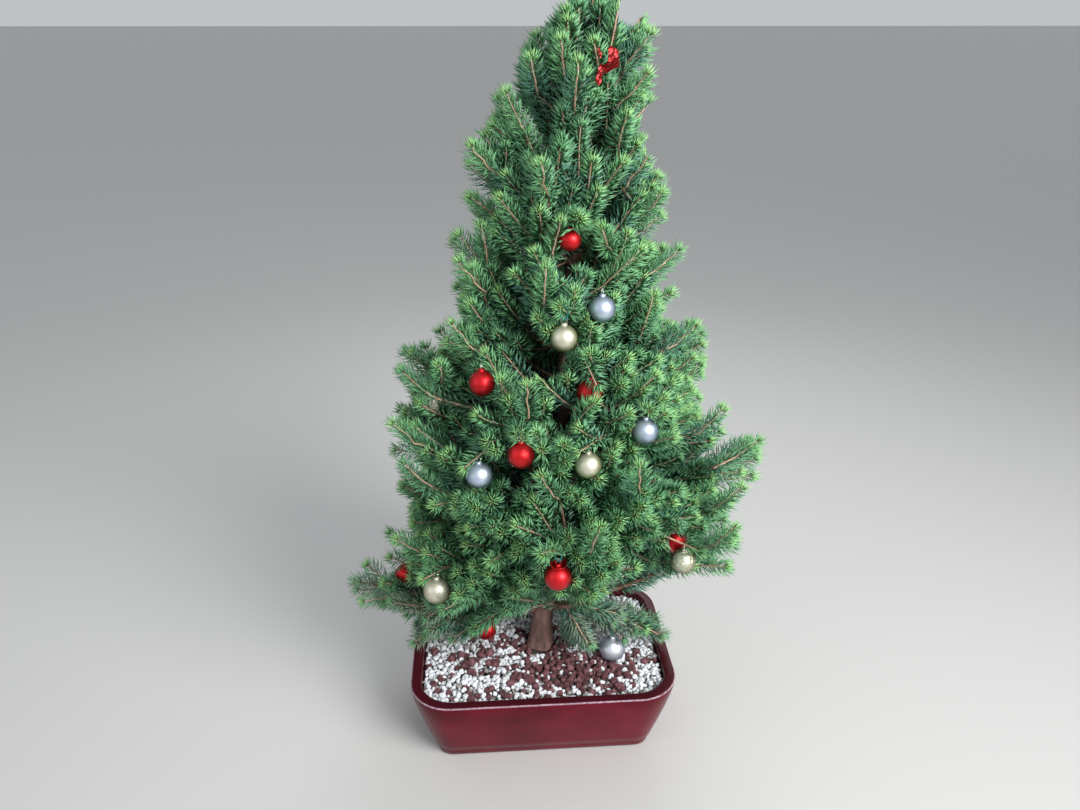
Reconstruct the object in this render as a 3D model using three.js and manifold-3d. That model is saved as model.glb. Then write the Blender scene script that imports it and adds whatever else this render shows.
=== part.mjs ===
// A potted dwarf spruce grown as a bonsai: a glazed pot full of grit, one leaning trunk,
// and a conical crown of foliage masses, the lower ones carried on boughs. Millimetres, +Z up.
// The origin is the centre of the pot's flat underside, with the pot's long side along X.
import * as THREE from "three";
import { mergeVertices } from "three/addons/utils/BufferGeometryUtils.js";
import Module from "manifold-3d";

const wasm = await Module();
wasm.setup();

// Driving dimensions
const TREE_TOP = 672;
const SEAM = 0.35; // the gap left where two pieces meet

const POT = {
  length: 248,
  depth: 178,
  height: 78,
  cornerRadius: 38,
  cornerShrink: 0.8, // how much of an inset comes off the corner radius
  cornerSteps: 4,
  footHeight: 10,
  footInset: 23,
  footRound: 2,
  wallInset: 20, // how far the wall stands in where it springs from the foot
  wallSwell: 1.2, // a higher power flares the wall lower down
  wallTop: 66,
  wallLip: 76, // where the wall reaches the rim's outline
  wallSteps: 4,
  rimWidth: 10,
  rimRound: 2,
  wallThickness: 9,
  floorThickness: 9,
  floorRound: 9,
};

const SOIL = {
  edgeDepth: 8, // below the rim
  mound: 3,
  shoulderInset: 22,
  shoulderRise: 0.6, // of the mound
  topInset: 42,
};

const TRUNK = {
  leanPerMm: 0.072,
  leanBearing: -6,
  sway: 3.5,
  swayTurns: 1.2,
  acrossSway: 2.1,
  acrossTurns: 1.65,
  baseRadius: 10.5,
  tipRadius: 1.1,
  taper: 0.86,
  flareRadius: 5,
  flareHeight: 16,
  flareRidges: 4,
  ridgeDepth: 0.14,
  tip: TREE_TOP - 9,
  sides: 10,
  clearanceSides: 7,
  ringHeights: [0, 5, 12, 24, 42, 75, 120, 180, 250, 320, 390, 460, 520, 565],
};

const BOUGH = {
  rootRadius: 4.6,
  endRadius: 2.6,
  thinnerPerMmUp: 0.006,
  pastMassStart: 0.12, // of its line, cut back to where it enters the mass
  sag: 0.3, // of its rise, below the straight line from root to tip
  sides: 6,
  stations: 3,
};

// One entry for each tier of foliage, from the pot upwards. Limbs leave the trunk at
// rootHeight, their masses end at tipHeight, reach mm out from the leaning trunk, and each
// mass is thickness mm deep. Bearings are in degrees from +X, turning towards +Y.
const TIERS = [
  {
    name: "skirt",
    rootHeight: 116,
    tipHeight: 156,
    reach: 156,
    thickness: 76,
    bearings: [4, 62, 122, 183, 240, 300],
    hasBoughs: true,
  },
  {
    name: "low",
    rootHeight: 166,
    tipHeight: 230,
    reach: 156,
    thickness: 92,
    bearings: [-18, 34, 92, 160, 214, 272],
    hasBoughs: true,
  },
  {
    name: "waist",
    rootHeight: 232,
    tipHeight: 306,
    reach: 140,
    thickness: 94,
    bearings: [-8, 54, 114, 174, 234, 294],
    hasBoughs: true,
  },
  {
    name: "middle",
    rootHeight: 302,
    tipHeight: 380,
    reach: 112,
    thickness: 92,
    bearings: [4, 84, 176, 242, 306],
    hasBoughs: false,
  },
  {
    name: "upper",
    rootHeight: 384,
    tipHeight: 456,
    reach: 78,
    thickness: 90,
    bearings: [-4, 90, 184, 266],
    hasBoughs: false,
  },
  {
    name: "high",
    rootHeight: 458,
    tipHeight: 528,
    reach: 60,
    thickness: 86,
    bearings: [-26, 50, 168, 236],
    hasBoughs: false,
  },
  {
    name: "neck",
    rootHeight: 530,
    tipHeight: 590,
    reach: 42,
    thickness: 78,
    bearings: [10, 128, 240],
    hasBoughs: false,
  },
  {
    name: "crest",
    rootHeight: 588,
    tipHeight: 638,
    reach: 31,
    thickness: 64,
    bearings: [-10, 108, 216],
    hasBoughs: false,
  },
];

// Single masses that differ from their tier. The two at the front of the skirt are short
// and raised, which bares the trunk's foot.
const OWN_SIZES = {
  skirt_left: { reach: 184, tipHeight: 166, thickness: 62 },
  skirt_right: { reach: 148, tipHeight: 164 },
  skirt_front_left: { rootHeight: 128, reach: 88, tipHeight: 206, thickness: 56 },
  skirt_front_right: { rootHeight: 122, reach: 84, tipHeight: 190, thickness: 60 },
  low_right: { reach: 168, tipHeight: 224 },
  low_left: { reach: 132, tipHeight: 236 },
  low_front_left: { reach: 142, tipHeight: 240 },
  low_front: { rootHeight: 176, reach: 132, tipHeight: 272 },
  waist_right: { reach: 176, tipHeight: 300 },
  waist_left: { reach: 138, tipHeight: 318 },
  middle_right: { reach: 118, tipHeight: 398 },
  middle_left: { reach: 136, tipHeight: 386 },
  upper_right: { reach: 72, tipHeight: 470 },
  upper_left: { reach: 88, tipHeight: 452 },
  high_left: { reach: 84, tipHeight: 548 },
};

const MASS = {
  sides: 8,
  stations: 6,
  startOnBough: 0.3, // the share of its limb's line where a mass begins
  startOnTrunk: 0.06,
  roomShare: 1.08, // of half the room between neighbours
  widestRoom: 1.75, // radians
  leastHalfWidth: 0.08, // of the thickness
  mostHalfWidth: 0.72,
  innerThickness: 0.7, // of the thickness at the outer end
  bluntness: 4, // a higher power squares off both ends
  lobe: 0.13,
};

const LEADER = { bottom: 630, radius: 20, sides: 9, stations: 6 };

const COMPASS = [
  "right",
  "back_right",
  "back",
  "back_left",
  "left",
  "front_left",
  "front",
  "front_right",
];

const finish = {
  glaze: new THREE.MeshStandardMaterial({ color: 0x5a1622, roughness: 0.22, metalness: 0 }),
  soil: new THREE.MeshStandardMaterial({ color: 0x8b7f78, roughness: 0.95, metalness: 0 }),
  bark: new THREE.MeshStandardMaterial({ color: 0x6b4a38, roughness: 0.9, metalness: 0 }),
  foliage: new THREE.MeshStandardMaterial({ color: 0x2f6b3a, roughness: 0.8, metalness: 0 }),
};

const soilEdge = POT.height - SOIL.edgeDepth;
const soilTop = soilEdge + SOIL.mound;
const trunkFoot = soilTop + SEAM;
const UP = new THREE.Vector3(0, 0, 1);

function evenSteps(low, high, steps) {
  return Array.from({ length: steps + 1 }, (_, step) => low + ((high - low) * step) / steps);
}

// A closed solid from rings of points: its two ends close onto single points
function loft(firstPole, rings, lastPole) {
  const sides = rings[0].length;
  const points = [firstPole, ...rings.flat(), lastPole];
  const last = points.length - 1;
  const faces = [];
  const at = (ring, side) => 1 + ring * sides + (side % sides);
  for (let side = 0; side < sides; side++) {
    faces.push(0, at(0, side + 1), at(0, side));
    for (let ring = 0; ring + 1 < rings.length; ring++) {
      faces.push(at(ring, side), at(ring, side + 1), at(ring + 1, side + 1));
      faces.push(at(ring, side), at(ring + 1, side + 1), at(ring + 1, side));
    }
    faces.push(last, at(rings.length - 1, side), at(rings.length - 1, side + 1));
  }
  const geometry = new THREE.BufferGeometry().setFromPoints(points);
  geometry.setIndex(faces);
  return geometry;
}

// One ring of a loft, turning from the level direction to the upright one
function ringAround(centre, level, upright, sides, radiiAt) {
  return Array.from({ length: sides }, (_, side) => {
    const angle = (side / sides) * Math.PI * 2;
    const radii = radiiAt(angle);
    return centre
      .clone()
      .addScaledVector(level, radii.level * Math.cos(angle))
      .addScaledVector(upright, radii.upright * Math.sin(angle));
  });
}

// Geometry to a manifold solid, and back
function solidOf(geometry) {
  const bare = geometry.clone();
  bare.deleteAttribute("normal");
  bare.deleteAttribute("uv");
  const merged = mergeVertices(bare);
  return new wasm.Manifold(
    new wasm.Mesh({
      numProp: 3,
      vertProperties: merged.attributes.position.array,
      triVerts: new Uint32Array(merged.index.array),
    }),
  );
}

function geometryOf(solid) {
  const mesh = solid.getMesh();
  const geometry = new THREE.BufferGeometry();
  geometry.setAttribute("position", new THREE.BufferAttribute(mesh.vertProperties, 3));
  geometry.setIndex(new THREE.BufferAttribute(mesh.triVerts, 1));
  geometry.computeVertexNormals();
  return geometry;
}

function largestBody(solid) {
  return solid.decompose().reduce((a, b) => (a.volume() > b.volume() ? a : b));
}

function named(name, geometry, material) {
  const mesh = new THREE.Mesh(geometry, material);
  mesh.name = name;
  return mesh;
}

// Pot and soil share rings that are rounded rectangles, inset from the rim's outline
function potRing(inset, z) {
  const halfLength = POT.length / 2 - inset;
  const halfDepth = POT.depth / 2 - inset;
  const radius = POT.cornerRadius - inset * POT.cornerShrink;
  const ring = [];
  for (let corner = 0; corner < 4; corner++) {
    const signX = corner === 0 || corner === 3 ? 1 : -1;
    const signY = corner < 2 ? 1 : -1;
    for (const share of evenSteps(0, 1, POT.cornerSteps)) {
      const angle = (corner + share) * (Math.PI / 2);
      const x = signX * (halfLength - radius) + radius * Math.cos(angle);
      const y = signY * (halfDepth - radius) + radius * Math.sin(angle);
      ring.push(new THREE.Vector3(x, y, z));
    }
  }
  return ring;
}

function outerInset(z) {
  const share = Math.min((z - POT.footHeight) / (POT.wallLip - POT.footHeight), 1);
  return POT.wallInset * (1 - share) ** POT.wallSwell;
}

function innerInset(z) {
  const thicker = (POT.rimWidth - POT.wallThickness) * (z / POT.height);
  return outerInset(z) + POT.wallThickness + thicker;
}

// The hollow's rings from just above the floor's rounding to the soil's edge
function hollowHeights() {
  return evenSteps(POT.floorThickness + POT.footRound * 3, soilEdge, 2);
}

function makePot() {
  const { height, footHeight, footInset, footRound, rimRound, rimWidth, floorThickness } = POT;
  const outside = evenSteps(footHeight, POT.wallTop, POT.wallSteps);
  const inside = [...hollowHeights(), POT.wallLip].reverse();
  const rings = [
    potRing(footInset + footRound, 0),
    potRing(footInset, footRound),
    potRing(footInset - footRound, footHeight - 1),
    ...outside.map((z) => potRing(outerInset(z), z)),
    potRing(0, POT.wallLip),
    potRing(rimRound, height),
    potRing(rimWidth - rimRound, height),
    ...inside.map((z) => potRing(innerInset(z), z)),
    potRing(innerInset(footHeight) + POT.floorRound, floorThickness),
  ];
  return loft(new THREE.Vector3(0, 0, 0), rings, new THREE.Vector3(0, 0, floorThickness));
}

function makeSoil() {
  const bottom = POT.floorThickness + SEAM;
  const rings = [
    potRing(innerInset(POT.footHeight) + POT.floorRound + SEAM, bottom),
    ...hollowHeights().map((z) => potRing(innerInset(z) + 2 * SEAM, z)),
    potRing(innerInset(soilEdge) + SOIL.shoulderInset, soilEdge + SOIL.mound * SOIL.shoulderRise),
    potRing(innerInset(soilEdge) + SOIL.topInset, soilTop),
  ];
  return loft(new THREE.Vector3(0, 0, bottom), rings, new THREE.Vector3(0, 0, soilTop));
}

// The trunk leans evenly, and sways a little about that line
function trunkPoint(z) {
  const up = z - soilTop;
  const share = up / (TREE_TOP - soilTop);
  const sway = TRUNK.sway * Math.sin(share * Math.PI * 2 * TRUNK.swayTurns) * share;
  const across = TRUNK.acrossSway * Math.sin(share * Math.PI * 2 * TRUNK.acrossTurns);
  const turn = THREE.MathUtils.degToRad(TRUNK.leanBearing);
  return new THREE.Vector3(TRUNK.leanPerMm * up + sway, across, z).applyAxisAngle(UP, turn).setZ(z);
}

function trunkRadius(z) {
  const share = (z - trunkFoot) / (TRUNK.tip - trunkFoot);
  const taper = (TRUNK.baseRadius - TRUNK.tipRadius) * (1 - Math.min(share, 1)) ** TRUNK.taper;
  return TRUNK.tipRadius + taper + TRUNK.flareRadius * Math.exp((trunkFoot - z) / TRUNK.flareHeight);
}

// With a clearance, the same shape that much bigger all round, for cutting its neighbours.
// With fewer sides it is widened, so that its flats still clear the trunk.
function makeTrunk(sides, clearance) {
  const widen = sides < TRUNK.sides ? 1 / Math.cos(Math.PI / sides) : 1;
  const east = new THREE.Vector3(1, 0, 0);
  const north = new THREE.Vector3(0, 1, 0);
  const top = TRUNK.tip - trunkFoot + clearance;
  const rings = [...TRUNK.ringHeights, top].map((up) => {
    const z = trunkFoot + up;
    const ridge = TRUNK.ridgeDepth * Math.exp(-up / TRUNK.flareHeight);
    return ringAround(trunkPoint(z), east, north, sides, (angle) => {
      const wave = 1 + ridge * Math.sin(angle * TRUNK.flareRidges);
      const radius = trunkRadius(z) * wave * widen + clearance;
      return { level: radius, upright: radius };
    });
  });
  return loft(trunkPoint(trunkFoot), rings, trunkPoint(trunkFoot + top));
}

// Every limb's line runs from the trunk's middle to its mass's outer end, with a sag
function limbLine(plume) {
  const root = trunkPoint(plume.rootHeight);
  const turn = THREE.MathUtils.degToRad(plume.bearing);
  const out = new THREE.Vector3(plume.reach, 0, 0).applyAxisAngle(UP, turn);
  const tip = trunkPoint(plume.tipHeight).add(out);
  const middle = root.clone().lerp(tip, 0.5);
  middle.z -= BOUGH.sag * (plume.tipHeight - plume.rootHeight);
  return new THREE.QuadraticBezierCurve3(root, middle, tip);
}

// A ring across a limb's line, with one direction kept level so that sections stay unturned
function ringAcross(line, share, sides, radiiAt) {
  const along = line.getTangent(share);
  const level = new THREE.Vector3(along.y, -along.x, 0).normalize();
  const upright = level.clone().cross(along);
  return ringAround(line.getPoint(share), level, upright.negate(), sides, radiiAt);
}

function makeBough(plume, clearance) {
  const end = plume.start + BOUGH.pastMassStart;
  const thinner = BOUGH.thinnerPerMmUp * (plume.rootHeight - TIERS[0].rootHeight);
  const rings = evenSteps(0, 1, BOUGH.stations).map((t) => {
    const taper = THREE.MathUtils.lerp(BOUGH.rootRadius, BOUGH.endRadius, t);
    const radius = taper - thinner + clearance;
    const radii = { level: radius, upright: radius };
    return ringAcross(plume.line, t * end, BOUGH.sides, () => radii);
  });
  return loft(plume.line.getPoint(0), rings, plume.line.getPoint(end));
}

// A mass is a wedge with blunt ends and wavy sides, wider and thicker as it goes out
function makeMass(plume) {
  const { stations, lobe } = MASS;
  const { line, start, thickness, phase } = plume;
  const rings = [];
  for (let station = 0; station < stations; station++) {
    const t = (station + 0.5) / stations;
    const share = THREE.MathUtils.lerp(start, 1, t);
    const blunted = (1 - Math.abs(2 * t - 1) ** MASS.bluntness) ** 0.5;
    const room = MASS.roomShare * plume.reach * share * Math.tan(plume.roomAngle / 2);
    const width = Math.min(room + MASS.leastHalfWidth * thickness, MASS.mostHalfWidth * thickness);
    const depth = 0.5 * thickness * THREE.MathUtils.lerp(MASS.innerThickness, 1, t);
    rings.push(
      ringAcross(line, share, MASS.sides, (angle) => {
        const three = Math.sin(3 * angle + phase + 4.1 * t);
        const two = Math.sin(2 * angle - 1.7 * phase + 7.3 * t);
        const wave = (1 + lobe * three + 0.8 * lobe * two) * blunted;
        return { level: width * wave, upright: depth * wave };
      }),
    );
  }
  return loft(line.getPoint(start), rings, line.getPoint(1));
}

// The topmost mass closes over the trunk's tip
function makeLeader() {
  const { bottom, radius, sides, stations } = LEADER;
  const east = new THREE.Vector3(1, 0, 0);
  const north = new THREE.Vector3(0, 1, 0);
  const rings = [];
  for (let station = 0; station < stations; station++) {
    const t = (station + 0.5) / stations;
    const swell = radius * Math.sin(Math.PI * t ** 0.8) ** 0.55;
    const centre = trunkPoint(THREE.MathUtils.lerp(bottom, TREE_TOP, t));
    rings.push(
      ringAround(centre, east, north, sides, (angle) => {
        const wave = 1 + MASS.lobe * Math.sin(3 * angle + 5 * t);
        return { level: swell * wave, upright: swell * wave };
      }),
    );
  }
  return loft(trunkPoint(bottom), rings, trunkPoint(TREE_TOP));
}

function compassName(bearing) {
  return COMPASS[((Math.round(bearing / 45) % 8) + 8) % 8];
}

// Half the turn from one neighbour in the tier to the other
function roomAngle(bearings, index) {
  const count = bearings.length;
  const before = bearings[(index + count - 1) % count];
  const after = bearings[(index + 1) % count];
  const turn = (after - before + 720) % 360;
  return Math.min(THREE.MathUtils.degToRad(turn / 2), MASS.widestRoom);
}

// A plume is one limb's line and the mass of foliage round its outer part
function listPlumes() {
  return TIERS.flatMap((tier, tierIndex) =>
    tier.bearings.map((bearing, index) => {
      const name = tier.name + "_" + compassName(bearing);
      const plume = { ...tier, ...OWN_SIZES[name], name, bearing };
      plume.roomAngle = roomAngle(tier.bearings, index);
      plume.start = tier.hasBoughs ? MASS.startOnBough : MASS.startOnTrunk;
      plume.phase = tierIndex * 2.3 + index * 1.9;
      plume.line = limbLine(plume);
      plume.middle = plume.line.getPoint((1 + plume.start) / 2);
      return plume;
    }),
  );
}

// Two masses that meet are both trimmed at one plane between their middles
function separate(masses) {
  masses.forEach((first, i) => {
    for (const second of masses.slice(i + 1)) {
      if (first.solid.minGap(second.solid, SEAM) >= SEAM) continue;
      const across = second.middle.clone().sub(first.middle);
      const share = first.thickness / (first.thickness + second.thickness);
      const plane = first.middle.clone().addScaledVector(across, share);
      const facing = across.normalize();
      const away = facing.clone().negate();
      first.solid = first.solid.trimByPlane(away.toArray(), away.dot(plane) + SEAM / 2);
      second.solid = second.solid.trimByPlane(facing.toArray(), facing.dot(plane) + SEAM / 2);
    }
  });
}

const planter = new THREE.Group();
planter.add(named("pot", makePot(), finish.glaze));
planter.add(named("soil", makeSoil(), finish.soil));

const wood = new THREE.Group();
wood.add(named("trunk", makeTrunk(TRUNK.sides, 0), finish.bark));

const trunkClearance = solidOf(makeTrunk(TRUNK.clearanceSides, SEAM));
const plumes = listPlumes();
for (const plume of plumes) {
  plume.solid = largestBody(solidOf(makeMass(plume)).subtract(trunkClearance));
}
const leader = {
  name: "leader",
  middle: trunkPoint((LEADER.bottom + TREE_TOP) / 2),
  thickness: LEADER.radius * 2,
  solid: largestBody(solidOf(makeLeader()).subtract(trunkClearance)),
};
const masses = [...plumes, leader];
separate(masses);

// A bough runs from the trunk to the mass it carries, and other masses are cut clear of it
const barkClearance = solidOf(makeTrunk(TRUNK.sides, SEAM));
for (const plume of plumes.filter((one) => one.hasBoughs)) {
  const clearance = solidOf(makeBough(plume, SEAM));
  for (const mass of masses) {
    if (mass !== plume) mass.solid = mass.solid.subtract(clearance);
  }
  const back = plume.line.getTangent(plume.start).multiplyScalar(-SEAM);
  const bough = solidOf(makeBough(plume, 0))
    .subtract(barkClearance)
    .subtract(plume.solid.translate(back.toArray()))
    .subtract(plume.solid);
  wood.add(named("bough_" + plume.name, geometryOf(largestBody(bough)), finish.bark));
}

const crown = new THREE.Group();
for (const mass of masses) {
  crown.add(named("mass_" + mass.name, geometryOf(largestBody(mass.solid)), finish.foliage));
}

const tree = new THREE.Group();
tree.add(planter, wood, crown);

export default tree;
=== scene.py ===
# A potted dwarf spruce grown as a bonsai, dressed with small ornaments.
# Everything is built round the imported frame. Plain sizes are millimetres and angles degrees,
# and they become metres where a mesh is made.
import math
import time

import bmesh
import bpy
import numpy as np
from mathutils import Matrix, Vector
from mathutils.bvhtree import BVHTree


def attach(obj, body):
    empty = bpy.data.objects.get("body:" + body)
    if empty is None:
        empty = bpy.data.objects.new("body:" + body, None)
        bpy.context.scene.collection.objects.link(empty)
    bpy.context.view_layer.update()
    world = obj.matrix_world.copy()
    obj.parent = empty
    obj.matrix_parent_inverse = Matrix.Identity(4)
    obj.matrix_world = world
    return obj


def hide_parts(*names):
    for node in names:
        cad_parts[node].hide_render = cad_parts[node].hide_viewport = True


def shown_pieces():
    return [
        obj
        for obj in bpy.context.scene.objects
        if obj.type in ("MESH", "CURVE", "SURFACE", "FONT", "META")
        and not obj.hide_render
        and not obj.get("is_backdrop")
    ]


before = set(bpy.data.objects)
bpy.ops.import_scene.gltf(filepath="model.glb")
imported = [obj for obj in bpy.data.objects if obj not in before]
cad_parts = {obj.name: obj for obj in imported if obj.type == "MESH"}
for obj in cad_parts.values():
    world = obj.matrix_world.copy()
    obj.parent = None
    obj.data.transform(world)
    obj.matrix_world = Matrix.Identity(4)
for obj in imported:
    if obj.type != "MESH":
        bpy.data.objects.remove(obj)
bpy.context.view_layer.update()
startTime = time.time()
mm = 0.001
hair = 0.01  # places nearer to each other than this count as one
flatFace = 0.9  # the upward part of a flat face's normal
steepFace = 0.7
upward = np.array([0.0, 0.0, 1.0])


def report(text):
    print(f"{time.time() - startTime:6.1f} s  {text}")


def unit(vector):
    return vector / np.linalg.norm(vector)


def unitRows(rows):
    return rows / np.linalg.norm(rows, axis=1)[:, None]


def outward(turn):
    return np.array([math.cos(turn), math.sin(turn), 0])


def curve(start, middle, end, shares):
    t = np.asarray(shares, float)[:, None]
    return (1 - t) ** 2 * start + 2 * t * (1 - t) * middle + t * t * end


def blendStep(value, low, high):
    share = np.clip((value - low) / (high - low), 0, 1)
    return share * share * (3 - 2 * share)


# Camera, lights and floor

view = {
    "eye": (-48.6, -694.3, 640),  # from the middle of the pot's underside
    "down": 23.83,
    "turn": -4,
    "focal": 873,  # pixels, in a picture 1080 wide
    "imageWidth": 1080,
    "imageHeight": 810,
    "sensor": 36,
    "nearest": 20,
}

lighting = {
    "key": {"at": (900, -1150, 1150), "size": 1100, "power": 16.5, "tint": (1.0, 0.99, 0.97)},
    "fill": {"at": (-1200, -700, 800), "size": 1300, "power": 1.0, "tint": (0.93, 0.96, 1.0)},
    "rim": {"at": (250, 1200, 1350), "size": 1100, "power": 2.6, "tint": (1.0, 1.0, 1.0)},
    "spread": 110,
    "aim": (10, 0, 300),
    "worldTint": (0.93, 0.96, 1.0),
    "worldStrength": 0.56,
    "floorSize": 200000,
    "floorTint": (0.54, 0.54, 0.53),
    "floorRoughness": 0.7,
}


def makeCamera():
    data = bpy.data.cameras.new("camera")
    data.sensor_width = view["sensor"]
    data.lens = view["focal"] / view["imageWidth"] * view["sensor"]
    data.clip_start = view["nearest"] * mm
    camera = bpy.data.objects.new("camera", data)
    camera.location = Vector(view["eye"]) * mm
    camera.rotation_euler = (math.radians(90 - view["down"]), 0, math.radians(view["turn"]))
    bpy.context.scene.collection.objects.link(camera)
    bpy.context.scene.camera = camera
    bpy.context.scene.view_settings.view_transform = "Standard"
    bpy.context.view_layer.update()
    return camera


def makeLights():
    aim = Vector(lighting["aim"]) * mm
    for name in ("key", "fill", "rim"):
        lamp = lighting[name]
        data = bpy.data.lights.new(name, "AREA")
        data.shape = "DISK"
        data.size = lamp["size"] * mm
        data.energy = lamp["power"]
        data.spread = math.radians(lighting["spread"])
        data.color = lamp["tint"]
        light = bpy.data.objects.new(name, data)
        light.location = Vector(lamp["at"]) * mm
        light.rotation_euler = (aim - light.location).to_track_quat("-Z", "Y").to_euler()
        bpy.context.scene.collection.objects.link(light)
    world = bpy.data.worlds.new("studio")
    world.use_nodes = True
    sky = world.node_tree.nodes["Background"]
    sky.inputs["Color"].default_value = (*lighting["worldTint"], 1)
    sky.inputs["Strength"].default_value = lighting["worldStrength"]
    bpy.context.scene.world = world


def makeFloor():
    bpy.ops.mesh.primitive_plane_add(size=lighting["floorSize"] * mm)
    floor = bpy.context.object
    floor.name = "floor"
    paintOfFloor = newMaterial("floorPaint", lighting["floorTint"], lighting["floorRoughness"])[0]
    floor.data.materials.append(paintOfFloor)
    floor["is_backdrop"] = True


# Materials

def newMaterial(name, colour, roughness, metallic=0.0):
    material = bpy.data.materials.new(name)
    material.use_nodes = True
    shader = material.node_tree.nodes["Principled BSDF"]
    shader.inputs["Base Color"].default_value = (*colour, 1)
    shader.inputs["Roughness"].default_value = roughness
    shader.inputs["Metallic"].default_value = metallic
    return material, shader


def addNode(tree, kind, inputs=(), **settings):
    node = tree.nodes.new(kind)
    for key, value in settings.items():
        setattr(node, key, value)
    for key, value in dict(inputs).items():
        node.inputs[key].default_value = value
    return node


def addRamp(tree, value, stops):
    ramp = tree.nodes.new("ShaderNodeValToRGB")
    band = ramp.color_ramp
    while len(band.elements) < len(stops):
        band.elements.new(0.5)
    for element, (place, colour) in zip(band.elements, stops):
        element.position = place
        element.color = (*colour, 1)
    tree.links.new(value, ramp.inputs["Fac"])
    return ramp.outputs["Color"]


def mottleGroup():
    # Large and small patches from one object-space noise, with the bump that goes with them
    group = bpy.data.node_groups.new("mottle", "ShaderNodeTree")
    face = group.interface
    for name, kind in (("Patch Scale", "Float"), ("Grain Scale", "Float"), ("Stretch", "Vector")):
        face.new_socket(name, in_out="INPUT", socket_type="NodeSocket" + kind)
    for name in ("Patch", "Grain"):
        face.new_socket(name, in_out="OUTPUT", socket_type="NodeSocketFloat")
    source = group.nodes.new("NodeGroupInput")
    result = group.nodes.new("NodeGroupOutput")
    place = addNode(group, "ShaderNodeTexCoord")
    scaled = addNode(group, "ShaderNodeVectorMath", operation="MULTIPLY")
    patch = addNode(group, "ShaderNodeTexNoise", {"Detail": 4.0, "Roughness": 0.6})
    grain = addNode(group, "ShaderNodeTexNoise", {"Detail": 6.0, "Roughness": 0.7})
    link = group.links.new
    link(place.outputs["Object"], scaled.inputs[0])
    link(source.outputs["Stretch"], scaled.inputs[1])
    for noise, socket in ((patch, "Patch Scale"), (grain, "Grain Scale")):
        link(scaled.outputs[0], noise.inputs["Vector"])
        link(source.outputs[socket], noise.inputs["Scale"])
    link(patch.outputs["Fac"], result.inputs["Patch"])
    link(grain.outputs["Fac"], result.inputs["Grain"])
    return group


def startPaint(name, colour, roughness, mottling, metallic=0.0):
    # A material with its mottle: patch scale, grain scale, and the stretch if there is one
    material, shader = newMaterial(name, colour, roughness, metallic)
    tree = material.node_tree
    node = tree.nodes.new("ShaderNodeGroup")
    node.node_tree = groups["mottle"]
    for socket, value in zip(("Patch Scale", "Grain Scale", "Stretch"), (*mottling, (1, 1, 1))):
        node.inputs[socket].default_value = value
    return material, shader, tree, node.outputs


def addBump(tree, shader, height, distance, strength=1.0):
    bump = addNode(tree, "ShaderNodeBump", {"Distance": distance, "Strength": strength})
    tree.links.new(height, bump.inputs["Height"])
    tree.links.new(bump.outputs["Normal"], shader.inputs["Normal"])


def mixColours(tree, share, first, second):
    mix = addNode(tree, "ShaderNodeMix", data_type="RGBA")
    for socket, value in ((mix.inputs[0], share), (mix.inputs[6], first), (mix.inputs[7], second)):
        if isinstance(value, tuple):
            socket.default_value = (*value, 1)
        elif isinstance(value, (int, float)):
            socket.default_value = value
        else:
            tree.links.new(value, socket)
    return mix.outputs[2]


def spread(tree, value, low, high, toLow=0.0, toHigh=1.0):
    node = addNode(
        tree,
        "ShaderNodeMapRange",
        {"From Min": low, "From Max": high, "To Min": toLow, "To Max": toHigh},
    )
    tree.links.new(value, node.inputs["Value"])
    return node.outputs["Result"]


def readAttribute(tree, name):
    return addNode(tree, "ShaderNodeAttribute", attribute_name=name).outputs["Fac"]


glaze = {
    "tint": (0.15, 0.02, 0.03),
    "roughness": 0.3,
    "specular": 0.12,
    "mottling": (11, 260, (1, 1, 1.6)),
    "patches": [
        (0.30, (0.070, 0.003, 0.009)),
        (0.46, (0.105, 0.004, 0.013)),
        (0.60, (0.140, 0.006, 0.021)),
        (0.75, (0.180, 0.010, 0.040)),
    ],
    "speck": (0.62, 0.72),
    "speckTint": (0.070, 0.004, 0.010),
    # Painted dark reflection on the rim's top, and painted shade on the upper inner wall
    "shadedTint": (0.040, 0.006, 0.010),
    # The pale line round the rim's outer edge: partly wear, partly a painted highlight
    "wornAndLit": (0.34, 0.58, 0.15, 1),
    "wornAndLitTint": (0.52, 0.42, 0.50),
    "sheen": (0.3, 0.7, 0.18, 0.28),
    "bump": (0.0006, 0.25),
}


def makeGlaze():
    material, shader, tree, mottle = startPaint(
        "oxbloodGlaze", glaze["tint"], glaze["roughness"], glaze["mottling"]
    )
    shader.inputs["Specular IOR Level"].default_value = glaze["specular"]
    patches = addRamp(tree, mottle["Patch"], glaze["patches"])
    speck = spread(tree, mottle["Grain"], *glaze["speck"])
    body = mixColours(tree, speck, patches, glaze["speckTint"])
    # Painted dark reflection on the rim's top, and painted shade on the upper inner wall
    dark = mixColours(tree, readAttribute(tree, "rimShade"), body, glaze["shadedTint"])
    # The pale line round the rim's outer edge, partly wear and partly a painted highlight, broken up
    # by the grain
    wornAndLit = addNode(tree, "ShaderNodeMath", operation="MULTIPLY")
    tree.links.new(readAttribute(tree, "wear"), wornAndLit.inputs[0])
    tree.links.new(spread(tree, mottle["Grain"], *glaze["wornAndLit"]), wornAndLit.inputs[1])
    colour = mixColours(tree, wornAndLit.outputs[0], dark, glaze["wornAndLitTint"])
    tree.links.new(colour, shader.inputs["Base Color"])
    tree.links.new(spread(tree, mottle["Grain"], *glaze["sheen"]), shader.inputs["Roughness"])
    addBump(tree, shader, mottle["Patch"], *glaze["bump"])
    return material


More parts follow.
